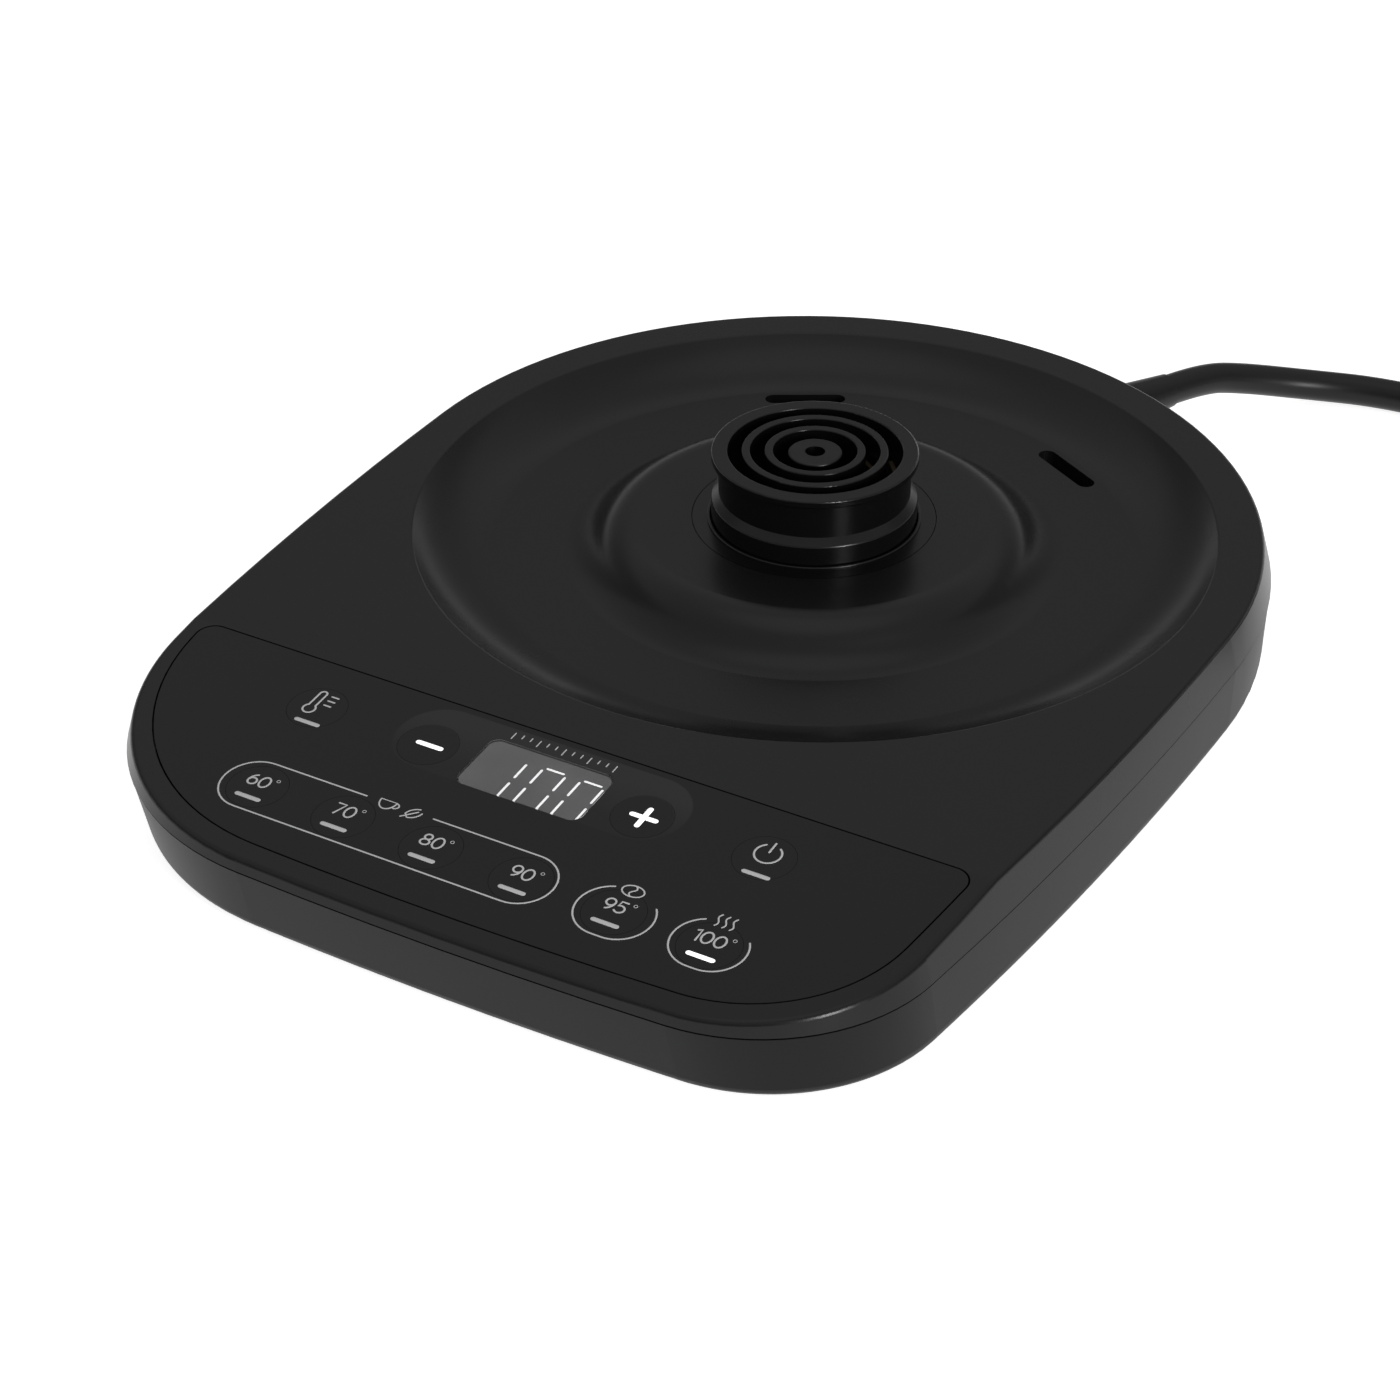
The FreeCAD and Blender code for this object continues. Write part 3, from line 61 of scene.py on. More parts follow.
class HousingFinish(bpy.types.PropertyGroup):
    """Colours and gloss of the moulded housing."""
    seat_colour: FloatVectorProperty(name="Seat colour", description="Upper housing with the dished seat",
                                     subtype="COLOR", default=(0.0058, 0.0058, 0.006), min=0, max=1)
    # The tray's colour is a little lighter than the seat's: partly the plastic's own dark colour, partly
    # painted light for the brighter lower wall
    tray_colour_with_painted_light: FloatVectorProperty(name="Tray colour", description="Lower housing",
                                     subtype="COLOR", default=(0.0062, 0.0062, 0.0064), min=0, max=1)
    fascia_colour: FloatVectorProperty(name="Fascia colour", description="Control panel and its keys",
                                       subtype="COLOR", default=(0.0062, 0.0062, 0.0063), min=0, max=1)
    seat_specular: FloatProperty(name="Seat specular", description="Reflections of the upper housing",
                                 subtype="FACTOR", default=0.33, min=0, max=1)
    tray_specular: FloatProperty(name="Tray specular", description="Reflections of the lower housing",
                                 subtype="FACTOR", default=0.14, min=0, max=1)
    fascia_specular: FloatProperty(name="Fascia specular", description="Reflections of the control panel",
                                   subtype="FACTOR", default=0.30, min=0, max=1)
    seat_roughness: FloatProperty(name="Seat roughness", description="Gloss of the upper housing",
                                  subtype="FACTOR", default=0.27, min=0, max=1)
    tray_roughness: FloatProperty(name="Tray roughness", description="Gloss of the lower housing",
                                  subtype="FACTOR", default=0.40, min=0, max=1)
    fascia_roughness: FloatProperty(name="Fascia roughness", description="Gloss of the control panel",
                                    subtype="FACTOR", default=0.34, min=0, max=1)
    grain: FloatProperty(name="Grain", description="Width of the moulded grain", unit="LENGTH",
                         default=0.35 * mm, min=0.05 * mm, max=2 * mm)


class PanelPrint(bpy.types.PropertyGroup):
    """Sizes and colours of the panel's printed marks and its display."""
    tilt: FloatProperty(name="Tilt", description="The panel's fall to the front", subtype="ANGLE",
                        default=math.radians(5.2))
    seam: FloatProperty(name="Seam", description="Gap behind the panel", unit="LENGTH", default=0.3 * mm)
    ink: FloatProperty(name="Ink", description="Height of the print over the panel", unit="LENGTH",
                       default=0.03 * mm)
    bar_length: FloatProperty(name="Bar length", description="Light bar of a key", unit="LENGTH",
                              default=5.0 * mm)
    bar_width: FloatProperty(name="Bar width", description="Light bar of a key", unit="LENGTH",
                             default=0.9 * mm)
    bar_shift: FloatProperty(name="Bar shift", description="Light bars of the outer keys, to the right",
                             unit="LENGTH", default=0.65 * mm)
    sign_width: FloatProperty(name="Sign width", description="Stroke of the plus and minus signs",
                              unit="LENGTH", default=0.95 * mm)
    sign_length: FloatProperty(name="Sign length", description="Plus and minus signs", unit="LENGTH",
                               default=5.2 * mm)
    sign_shift: FloatProperty(name="Sign shift", description="Plus and minus signs, to the right",
                              unit="LENGTH", default=0.3 * mm)
    numeral_height: FloatProperty(name="Numeral height", description="Preset temperatures", unit="LENGTH",
                                  default=2.5 * mm)
    numeral_width: FloatProperty(name="Numeral stroke", description="Preset temperatures", unit="LENGTH",
                                 default=0.36 * mm)
    line_width: FloatProperty(name="Line width", description="Outlines round the presets", unit="LENGTH",
                              default=0.32 * mm)
    image_width: FloatProperty(name="Image width", description="Lit ground of the display", unit="LENGTH",
                               default=23.0 * mm)
    image_height: FloatProperty(name="Image height", description="Lit ground of the display", unit="LENGTH",
                                default=12.0 * mm)
    image_corner: FloatProperty(name="Image corner", description="Lit ground of the display", unit="LENGTH",
                                default=1.8 * mm)
    image_drop: FloatProperty(name="Image drop", description="Lit ground under the window's face",
                              unit="LENGTH", default=0.55 * mm)
    field_width: FloatProperty(name="Field width", description="Lighter field with the display and the signs",
                               unit="LENGTH", default=54 * mm)
    field_height: FloatProperty(name="Field height", description="Lighter field", unit="LENGTH",
                                default=15.5 * mm)
    field_top: FloatProperty(name="Field top", description="Lighter field, from the rear seam", unit="LENGTH",
                             default=1.5 * mm)
    field_gain: FloatProperty(name="Field gain", description="How much lighter the field is", default=2.4,
                              min=0)
    disc_radius: FloatProperty(name="Disc radius", description="Plain disc round a sign", unit="LENGTH",
                               default=5.1 * mm)
    print_colour: FloatVectorProperty(name="Print colour", description="Unlit marks", subtype="COLOR",
                                      default=(0.62, 0.62, 0.63), min=0, max=1)
    lit_colour: FloatVectorProperty(name="Lit colour", description="Lit marks and digits", subtype="COLOR",
                                    default=(1.0, 1.0, 1.0), min=0, max=1)
    display_colour: FloatVectorProperty(name="Display colour", description="Ground of the display",
                                        subtype="COLOR", default=(0.07, 0.07, 0.072), min=0, max=1)


class CordLay(bpy.types.PropertyGroup):
    """Size of the mains cord and its put-away coil."""
    diameter: FloatProperty(name="Diameter", description="Cord over its sheath", unit="LENGTH",
                            default=6.2 * mm)
    length: FloatProperty(name="Length", description="Strain relief to plug", unit="LENGTH", default=0.755)
    points_per_turn: IntProperty(name="Points per turn", description="Control points in a turn of the coil",
                                 default=24)
    sheath_colour: FloatVectorProperty(name="Sheath colour", description="Cord, strain relief and plug",
                                       subtype="COLOR", default=(0.0065, 0.0065, 0.0068), min=0, max=1)


class Studio(bpy.types.PropertyGroup):
    """Camera and light."""
    lens: FloatProperty(name="Lens", description="Focal length on a 36 mm sensor", unit="CAMERA",
                        default=84.402)
    azimuth: FloatProperty(name="Azimuth", description="Camera to the right of the front", subtype="ANGLE",
                           default=math.radians(30.13))
    elevation: FloatProperty(name="Elevation", description="Camera above the horizon", subtype="ANGLE",
                             default=math.radians(33.43))
    roll: FloatProperty(name="Roll", description="Camera turned about its view", subtype="ANGLE",
                        default=math.radians(-0.19))
    camera_place: FloatVectorProperty(name="Camera place", description="Where the camera stands",
                                      subtype="TRANSLATION", unit="LENGTH",
                                      default=(0.23865, -0.42714, 0.32))
    sky: FloatProperty(name="Sky", description="Soft light from all round", default=0.78, min=0)
    key_power: FloatProperty(name="Key power", description="Lamp at the front right", unit="POWER",
                             default=9.0, min=0)
    lamp_place: FloatVectorProperty(name="Lamp place", description="Where the lamp stands",
                                    subtype="TRANSLATION", unit="LENGTH", default=(1.15, -0.62, 0.42))
    lamp_size: FloatVectorProperty(name="Lamp size", description="Width and height of the lamp", size=2,
                                   unit="LENGTH", default=(0.16, 0.5))
    floor_radius: FloatProperty(name="Floor radius", description="Round floor, past any view", unit="LENGTH",
                                default=40.0)
    floor_glow: FloatProperty(name="Floor glow", description="White that the camera sees in the floor",
                              default=0.8, min=0)


# Shader helpers


def shader_group(name, inputs, outputs):
    """A new shader node group with named sockets, and its input and output nodes."""
    group = bpy.data.node_groups.new(name, "ShaderNodeTree")
    for socket, kind, value in inputs:
        made = group.interface.new_socket(name=socket, in_out="INPUT", socket_type="NodeSocket" + kind)
        made.default_value = value
    for socket, kind in outputs:
        group.interface.new_socket(name=socket, in_out="OUTPUT", socket_type="NodeSocket" + kind)
    return group, group.nodes.new("NodeGroupInput"), group.nodes.new("NodeGroupOutput")


def add_node(tree, kind, values=None, **settings):
    """A node with its settings and socket values."""
    node = tree.nodes.new("ShaderNode" + kind)
    for key, value in settings.items():
        setattr(node, key, value)
    for socket, value in (values or {}).items():
        node.inputs[socket].default_value = value
    return node


def calculate(tree, operation, one, two, clamp=False):
    """A maths node between two sockets or numbers."""
    node = add_node(tree, "Math", operation=operation, use_clamp=clamp)
    for socket, value in zip(node.inputs, (one, two)):
        if isinstance(value, bpy.types.NodeSocket):
            tree.links.new(value, socket)
        else:
            socket.default_value = value
    return node.outputs[0]


def moulded_grain():
    """Fine moulded grain with soft rubbed patches: colour, roughness and height from an even finish."""
    name = "Moulded grain"
    if name in bpy.data.node_groups:
        return bpy.data.node_groups[name]
    group, given, made = shader_group(
        name,
        [("Colour", "Color", (0.01, 0.01, 0.01, 1)), ("Roughness", "Float", 0.4),
         ("Grain", "Float", 0.35 * mm), ("Patch", "Float", 0.03), ("Patch Spread", "Float", 0.05)],
        [("Colour", "Color"), ("Roughness", "Float"), ("Height", "Float")])
    place = add_node(group, "TexCoord").outputs["Object"]
    fine = add_node(group, "TexNoise", {"Detail": 2.0, "Roughness": 0.6})
    broad = add_node(group, "TexNoise", {"Detail": 3.0, "Roughness": 0.55})
    for noise, size in ((fine, given.outputs["Grain"]), (broad, given.outputs["Patch"])):
        group.links.new(place, noise.inputs["Vector"])
        group.links.new(calculate(group, "DIVIDE", 1.0, size), noise.inputs["Scale"])
    swing = calculate(group, "MULTIPLY", calculate(group, "SUBTRACT", broad.outputs["Fac"], 0.5),
                      given.outputs["Patch Spread"])
    rough = calculate(group, "ADD", given.outputs["Roughness"], swing, clamp=True)
    shade_share = 4.0
    shade = calculate(group, "ADD", 1.0, calculate(group, "MULTIPLY", swing, shade_share))
    tint = add_node(group, "VectorMath", operation="SCALE")
    group.links.new(given.outputs["Colour"], tint.inputs[0])
    group.links.new(shade, tint.inputs["Scale"])
    group.links.new(tint.outputs[0], made.inputs["Colour"])
    group.links.new(rough, made.inputs["Roughness"])
    group.links.new(fine.outputs["Fac"], made.inputs["Height"])
    return group


def drawn_metal():
    """Fine lines along one axis, as on turned and drawn metal: colour, roughness and height."""
    name = "Drawn metal"
    if name in bpy.data.node_groups:
        return bpy.data.node_groups[name]
    group, given, made = shader_group(
        name,
        [("Colour", "Color", (0.6, 0.6, 0.6, 1)), ("Roughness", "Float", 0.3), ("Line", "Float", 0.2 * mm)],
        [("Colour", "Color"), ("Roughness", "Float"), ("Height", "Float")])
    line_scale, rough_share, shade_share = 0.1, 0.25, 0.3
    stretch = add_node(group, "Mapping", {"Scale": (1.0, 1.0, 12.0)})
    lines = add_node(group, "TexNoise", {"Detail": 4.0, "Roughness": 0.7})
    group.links.new(add_node(group, "TexCoord").outputs["Object"], stretch.inputs["Vector"])
    group.links.new(stretch.outputs["Vector"], lines.inputs["Vector"])
    group.links.new(calculate(group, "DIVIDE", line_scale, given.outputs["Line"]), lines.inputs["Scale"])
    swing = calculate(group, "SUBTRACT", lines.outputs["Fac"], 0.5)
    change = calculate(group, "MULTIPLY", swing, rough_share)
    rough = calculate(group, "ADD", given.outputs["Roughness"], change, clamp=True)
    shade = calculate(group, "ADD", 1.0, calculate(group, "MULTIPLY", swing, shade_share))
    tint = add_node(group, "VectorMath", operation="SCALE")
    group.links.new(given.outputs["Colour"], tint.inputs[0])
    group.links.new(shade, tint.inputs["Scale"])
    group.links.new(tint.outputs[0], made.inputs["Colour"])
    group.links.new(rough, made.inputs["Roughness"])
    group.links.new(lines.outputs["Fac"], made.inputs["Height"])
    return group


def radius_of(tree, x, y):
    """Distance from the origin of a point in the plane."""
    squares = calculate(tree, "ADD", calculate(tree, "MULTIPLY", x, x), calculate(tree, "MULTIPLY", y, y))
    return calculate(tree, "SQRT", squares, 0.0)


def soft_step(tree, value, edge, width):
    """Rises from 0 to 1 over a width about an edge, or falls where the width is below zero."""
    step = add_node(tree, "MapRange", {"From Min": edge - width / 2, "From Max": edge + width / 2})
    tree.links.new(value, step.inputs["Value"])
    return step.outputs[0]


def touch_field(marks):
    """A lighter field on the panel behind the display, with a plain disc round each of the two signs."""
    group, given, made = shader_group("Touch field", [("Colour", "Color", (0.01, 0.01, 0.01, 1))],
                                      [("Colour", "Color")])
    edge = 0.25 * mm
    fade_low, fade_high, least = -13.5 * mm, -5.0 * mm, 0.25
    _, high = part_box("control_panel")
    sign_x, sign_y = key_place("key_plus")
    place = add_node(group, "SeparateXYZ")
    group.links.new(add_node(group, "TexCoord").outputs["Object"], place.inputs[0])
    across = calculate(group, "ABSOLUTE", place.outputs["X"], 0.0)
    up = calculate(group, "SUBTRACT", place.outputs["Y"], high.y + marks.seam)
    reach = marks.field_height / 2
    level = calculate(group, "SUBTRACT", up, -marks.field_top - reach)
    past_ends = calculate(group, "SUBTRACT", across, marks.field_width / 2 - reach)
    beyond = calculate(group, "MAXIMUM", past_ends, 0.0)
    inside = soft_step(group, radius_of(group, beyond, level), reach, -edge)
    off_x = calculate(group, "SUBTRACT", across, sign_x)
    off_y = calculate(group, "SUBTRACT", up, sign_y)
    outside = soft_step(group, radius_of(group, off_x, off_y), marks.disc_radius, edge)
    fade = add_node(group, "MapRange", {"From Min": fade_low, "From Max": fade_high, "To Min": least,
                                        "To Max": 1.0})
    group.links.new(up, fade.inputs["Value"])
    field = calculate(group, "MULTIPLY", calculate(group, "MULTIPLY", inside, outside), fade.outputs[0])
    tint = add_node(group, "VectorMath", operation="SCALE")
    group.links.new(given.outputs["Colour"], tint.inputs[0])
    gain = calculate(group, "MULTIPLY", field, marks.field_gain)
    group.links.new(calculate(group, "ADD", gain, 1.0), tint.inputs["Scale"])
    group.links.new(tint.outputs[0], made.inputs["Colour"])
    return group


def tint_with(material, group):
    """Puts a colour group between a material's grain and its shader."""
    tree = material.node_tree
    shade = tree.nodes["Principled BSDF"].inputs["Base Color"]
    before = shade.links[0].from_socket
    source = add_node(tree, "Group", node_tree=group)
    tree.links.new(before, source.inputs["Colour"])
    tree.links.new(source.outputs["Colour"], shade)


def finish(name, group, values, depth, shader_values=None):
    """A material whose colour, roughness and bump come from a shared group."""
    material = bpy.data.materials.new(name)
    material.use_nodes = True
    tree = material.node_tree
    shader = tree.nodes["Principled BSDF"]
    source = add_node(tree, "Group", node_tree=group)
    for socket, value in values.items():
        source.inputs[socket].default_value = (*value, 1) if hasattr(value, "__len__") else value
    bump = add_node(tree, "Bump", {"Distance": depth, "Strength": 1.0})
    tree.links.new(source.outputs["Colour"], shader.inputs["Base Color"])
    tree.links.new(source.outputs["Roughness"], shader.inputs["Roughness"])
    tree.links.new(source.outputs["Height"], bump.inputs["Height"])
    tree.links.new(bump.outputs["Normal"], shader.inputs["Normal"])
    for socket, value in (shader_values or {}).items():
        shader.inputs[socket].default_value = value
    return material


def plastic(name, colour, roughness, grain=0.35 * mm, depth=0.004 * mm, specular=0.5):
    """Moulded plastic or rubber."""
    return finish(name, moulded_grain(), {"Colour": colour, "Roughness": roughness, "Grain": grain}, depth,
                  {"Specular IOR Level": specular})


def metal(name, colour, roughness):
    """Plain drawn metal."""
    return finish(name, drawn_metal(), {"Colour": colour, "Roughness": roughness}, 0.002 * mm,
                  {"Metallic": 1.0})


def dress(material, *names):
    """Gives CAD pieces a material."""
    for name in names:
        slots = nodes[name].data.materials
        slots.clear()
        slots.append(material)


# Drawing on the panel


def panel_place(lift=0.0):
    """The panel's own frame: x to the right, y up the panel from its rear seam, z off its face."""
    marks = bpy.context.scene.kettle_print
    _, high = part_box("control_panel")
    rear = high.y + marks.seam
    top = high.z + marks.seam * math.tan(marks.tilt)
    tilted = Matrix.Translation((0, rear, top)) @ Matrix.Rotation(marks.tilt, 4, "X")
    return tilted @ Matrix.Translation((0, 0, lift))


def arc(x, y, across, up, start, end, steps=20):
    """Points on an arc of an ellipse, in degrees from the right, anticlockwise."""
    points = []
    for step in range(steps + 1):
        angle = math.radians(start + (end - start) * step / steps)
        points.append((x + across * math.cos(angle), y + up * math.sin(angle)))
    return points


def round_ends(points, width):
    """A stroke's points with radius shares, which shrink to nothing in a half circle at both ends."""
    points = [Vector(point) for point in points]
    first = (points[1] - points[0]).normalized() * width / 2
    last = (points[-1] - points[-2]).normalized() * width / 2
    turns = [math.radians(degrees) for degrees in (0, 30, 60)]
    start = [(points[0] - first * math.cos(turn), math.sin(turn)) for turn in turns]
    end = [(points[-1] + last * math.cos(turn), math.sin(turn)) for turn in reversed(turns)]
    return start + [(point, 1.0) for point in points] + end


def stroke_mesh(points, width, height):
    """A flat printed stroke along points, as a mesh."""
    curve = bpy.data.curves.new("stroke", "CURVE")
    curve.dimensions = "3D"
    curve.bevel_depth = width / 2
    curve.bevel_resolution = 2
    spline = curve.splines.new("POLY")
    closed = (Vector(points[0]) - Vector(points[-1])).length < width / 10
    placed = [(Vector(point), 1.0) for point in points[:-1]] if closed else round_ends(points, width)
    spline.use_cyclic_u = closed
    spline.points.add(len(placed) - 1)
    for target, (point, share) in zip(spline.points, placed):
        target.co = (point.x, point.y, 0, 1)
        target.radius = share
    holder = bpy.data.objects.new("stroke", curve)
    mesh = bpy.data.meshes.new_from_object(holder)
    mesh.transform(Matrix.Diagonal((1, 1, height / (width / 2), 1)))
    bpy.data.objects.remove(holder)
    bpy.data.curves.remove(curve)
    return mesh


def print_marks(name, strokes, body, material, lift=0.0):
    """One printed piece from strokes, each a list of points and a width, on the panel or under it."""
    drawing = bmesh.new()
    height = bpy.context.scene.kettle_print.ink
    for points, width in strokes:
        mesh = stroke_mesh(points, width, height)
        drawing.from_mesh(mesh)
        bpy.data.meshes.remove(mesh)
    drawing.transform(panel_place(lift))
    mesh = bpy.data.meshes.new(name)
    drawing.to_mesh(mesh)
    drawing.free()
    mesh.shade_smooth()
    mesh.materials.append(material)
    piece = bpy.data.objects.new(name, mesh)
    bpy.context.scene.collection.objects.link(piece)
    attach(piece, body)


def digit_strokes(digit):
    """A plain round numeral of height 1, as lines and arcs, and its width."""
    six = [arc(0.31, 0.31, 0.31, 0.31, 0, 360), arc(0.62, 0.31, 0.62, 0.69, 180, 112)]
    shapes = {
        "0": ([arc(0.35, 0.5, 0.35, 0.5, 0, 360, 32)], 0.70),
        "1": ([[(0.0, 0.88), (0.24, 1.0), (0.24, 0.0)]], 0.26),
        "5": ([[(0.56, 1.0), (0.12, 1.0), (0.07, 0.56)] + arc(0.27, 0.32, 0.34, 0.32, 128, -142, 18)], 0.60),
        "6": (six, 0.62),
        "7": ([[(0.0, 1.0), (0.58, 1.0), (0.17, 0.0)]], 0.58),
        "8": ([arc(0.32, 0.76, 0.26, 0.24, 0, 360), arc(0.32, 0.26, 0.32, 0.26, 0, 360)], 0.64),
        "9": ([[(0.62 - x, 1 - y) for x, y in stroke] for stroke in six], 0.62),
    }
    return shapes[digit]


def numeral(text, x, y, height, width):
    """A number's strokes with its degree ring, its digits centred on a point."""
    gap = 0.20
    drawn = [digit_strokes(digit) for digit in text]
    total = sum(across for shape, across in drawn) + gap * (len(text) - 1)
    left = -total / 2
    strokes = []
    for shape, across in drawn:
        for stroke in shape:
            points = [(x + (left + px) * height, y + (py - 0.5) * height) for px, py in stroke]
            strokes.append((points, width))
        left += across + gap
    ring_x = x + (1.43 if len(text) > 2 else 1.17) * height
    ring_y = y + 0.48 * height
    ring_radius = 0.12 * height
    return strokes + [(arc(ring_x, ring_y, ring_radius, ring_radius, 0, 360, 14), width / 3)]


def bar(x, y, length, width):
    """A level stroke with round ends."""
    half = (length - width) / 2
    return [(x - half, y), (x + half, y)], width


def key_place(name):
    """Where a key's middle is in the panel's frame."""
    low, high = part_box(name)
    middle = panel_place().inverted() @ ((low + high) / 2)
    return middle.x, middle.y


def capsule(left, right, low, high, gap_left, gap_right):
    """An outline with round ends and a gap in its level upper run, as one open stroke."""
    radius = (high - low) / 2
    middle = (high + low) / 2
    left_end = arc(left + radius, middle, radius, radius, 90, 270)
    right_end = arc(right - radius, middle, radius, radius, -90, 90)
    return [(gap_left, high)] + left_end + right_end + [(gap_right, high)]


def open_ring(left, right, low, high, gap_start, gap_end):
    """An oval outline, open over the top between two angles in degrees, as one stroke."""
    radius = (high - low) / 2
    middle = (high + low) / 2
    sides = arc(left + radius, middle, radius, radius, gap_start, 270)
    return sides + arc(right - radius, middle, radius, radius, -90, gap_end)


def plain_material(name, colour, roughness, glow=0.0):
    """Printed ink, lit from behind where glow isn't 0."""
    material = finish(name, moulded_grain(), {"Colour": colour, "Roughness": roughness, "Grain": 0.1 * mm},
                      0.001 * mm)
    shader = material.node_tree.nodes["Principled BSDF"]
    shader.inputs["Emission Color"].default_value = (*colour, 1)
    shader.inputs["Emission Strength"].default_value = glow
    return material


# Pieces


class KETTLEBASE_OT_cord(bpy.types.Operator):
    """Lays the mains cord from the strain relief into its put-away coil and dresses the pieces on it"""
    bl_idname = "kettlebase.cord"
    bl_label = "Cord and plug"

    def execute(self, context):
        lay = context.scene.kettle_cord
        curve = bpy.data.curves.new("mains_cord", "CURVE")
        curve.dimensions = "3D"
        curve.bevel_depth = lay.diameter / 2
        curve.bevel_resolution = 8
        curve.resolution_u = 8
        points = cord_points(lay.points_per_turn)
        spline = curve.splines.new("NURBS")
        spline.points.add(len(points) - 1)
        for target, point in zip(spline.points, points):
            target.co = (*point, 1)
        spline.order_u = 3
        spline.use_endpoint_u = True
        sheath = plastic("cord_sheath", lay.sheath_colour, roughness=0.36, grain=0.5 * mm, depth=0.006 * mm,
                         specular=0.32)
        curve.materials.append(sheath)
        cord = bpy.data.objects.new("mains_cord", curve)
        context.scene.collection.objects.link(cord)
        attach(cord, "base")
        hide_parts("power_cord", "cord_coil")
        dress(sheath, "strain_relief", "plug_body", "sheath_end")
        strap = plastic("tie_strap", (0.02, 0.02, 0.021), roughness=0.6, grain=0.8 * mm, depth=0.02 * mm)
        dress(strap, "cord_tie")
        dress(metal("pin_brass", (0.72, 0.56, 0.30), 0.28), "plug_pins")
        return {"FINISHED"}


# The put-away coil, as in the CAD model
coil_centre = Vector((127.005, 113.1, 0)) * mm
coil_start = math.radians(78.0)
coil_outer = 37.0 * mm
coil_pitch = 8.0 * mm
coil_layer = 7.0 * mm
coil_base = 4.3 * mm
coil_turns_in = 1.5
coil_turns_climb = 0.5
coil_turns_out = 1.25
coil_lead = 6.2 * mm
coil_approach = 14.0 * mm
coil_tail = 26.0 * mm


def coil_point(turn):
    """The coil's path: in on the lower layer, up in half a turn, and out on the upper layer."""
    climb = min(max((turn - coil_turns_in) / coil_turns_climb, 0), 1)
    if turn < coil_turns_in:
        radius = coil_outer - coil_pitch * turn
    else:
        radius = coil_outer - coil_pitch * coil_turns_in
        radius += coil_pitch * max(turn - coil_turns_in - coil_turns_climb, 0)
    angle = coil_start - 2 * math.pi * turn
    height = coil_base + coil_layer * climb * climb * (3 - 2 * climb)
    return coil_centre + Vector((radius * math.cos(angle), radius * math.sin(angle), height))


def coil_way(turn):
    """The coil's level direction at a turn."""
    step = 1 / 32
    way = coil_point(turn + step) - coil_point(turn - step)
    way.z = 0
    return way.normalized()


def cord_points(per_turn):
    """The cord's control points: the route out of the strain relief, then the coil's turns and its tail."""
    tip = Vector((27.235, 124.010, 9.2)) * mm
    out = Vector((31.282, 132.495, 9.2)) * mm
    route = [(36.505, 140.2, 7.1), (47.405, 150.2, 3.8), (61.405, 155.8, 3.1), (80.805, 156.4, 3.1),
             (98.505, 156.2, 3.4)]
    turns = coil_turns_in + coil_turns_climb + coil_turns_out
    start_way = coil_way(0)
    lead = coil_point(0) - start_way * coil_lead
    coil = [coil_point(step / per_turn) for step in range(int(turns * per_turn) + 1)]
    tail = coil_point(turns) + coil_way(turns) * coil_tail
    free = [tip, out] + [Vector(point) * mm for point in route]
    return free + [lead - start_way * coil_approach, lead] + coil + [tail]


class KETTLEBASE_OT_housing(bpy.types.Operator):
    """Finishes the two housings, the feet and the screws under the base"""
    bl_idname = "kettlebase.housing"
    bl_label = "Housing"

    def execute(self, context):
        look = context.scene.kettle_finish
        dress(plastic("seat_plastic", look.seat_colour, look.seat_roughness, look.grain,
                      specular=look.seat_specular), "upper_housing")
        # The tray's slightly lighter colour carries painted light on the lower wall
        dress(plastic("tray_plastic", look.tray_colour_with_painted_light, look.tray_roughness, look.grain,
                      specular=look.tray_specular), "lower_housing")
        rubber = plastic("foot_rubber", (0.014, 0.014, 0.014), roughness=0.75, grain=0.6 * mm,
                         depth=0.02 * mm)
        dress(rubber, "feet", "panel_gasket")
        dress(metal("screw_steel", (0.45, 0.45, 0.46), 0.35), "housing_screws", "connector_screws",
              "board_screws", "power_board_screws", "clamp_screws")
        return {"FINISHED"}


class KETTLEBASE_OT_connector(bpy.types.Operator):
    """Finishes the ring connector and its contacts; the dark metal of the contacts and the earth sleeve is
    painted shade
    """
    bl_idname = "kettlebase.connector"
    bl_label = "Ring connector"

    def execute(self, context):
        look = context.scene.kettle_finish
        moulding = plastic("connector_plastic", (0.003, 0.003, 0.0032), roughness=0.26, grain=look.grain,
                           specular=0.36)
        dress(moulding, "connector_body", "connector_collar", "connector_back")
        dress(plastic("seal_rubber", (0.012, 0.012, 0.012), 0.7), "connector_seal")
        # The contacts' brass is painted far darker than the plug pins' brass: painted shade in the
        # connector's ring slots
        dress(metal("contact_brass_painted_shade", (0.08, 0.062, 0.04), 0.45), "line_contact", "neutral_contact",
              "terminal_tabs")
        # The earth sleeve's steel is painted near black, far darker than the screws' steel: painted shade
        # inside the connector
        dress(metal("sleeve_steel_painted_shade", (0.045, 0.045, 0.046), 0.34), "earth_sleeve")
        return {"FINISHED"}


class KETTLEBASE_OT_panel(bpy.types.Operator):
    """Finishes the control panel and prints its marks"""
    bl_idname = "kettlebase.panel"
    bl_label = "Control panel"

    def execute(self, context):
        look = context.scene.kettle_finish
        marks = context.scene.kettle_print
        fascia = plastic("fascia_film", look.fascia_colour, look.fascia_roughness, grain=0.25 * mm,
                         depth=0.002 * mm, specular=look.fascia_specular)
        tint_with(fascia, touch_field(marks))
        dress(fascia, "control_panel", *key_names)
        white = plain_material("white_print", marks.print_colour, roughness=0.5)
        lit = plain_material("lit_print", marks.lit_colour, roughness=0.5, glow=1.0)
        print_side_keys(marks, white)
        print_step_keys(marks, lit)
        print_presets(marks, white, lit)
        print_outlines(marks, white)
        print_scale(marks, white)
        return {"FINISHED"}


presets = ("60", "70", "80", "90", "95", "100")
key_names = ["key_hold", "key_start_stop", "key_minus", "key_plus", *("key_" + text for text in presets)]


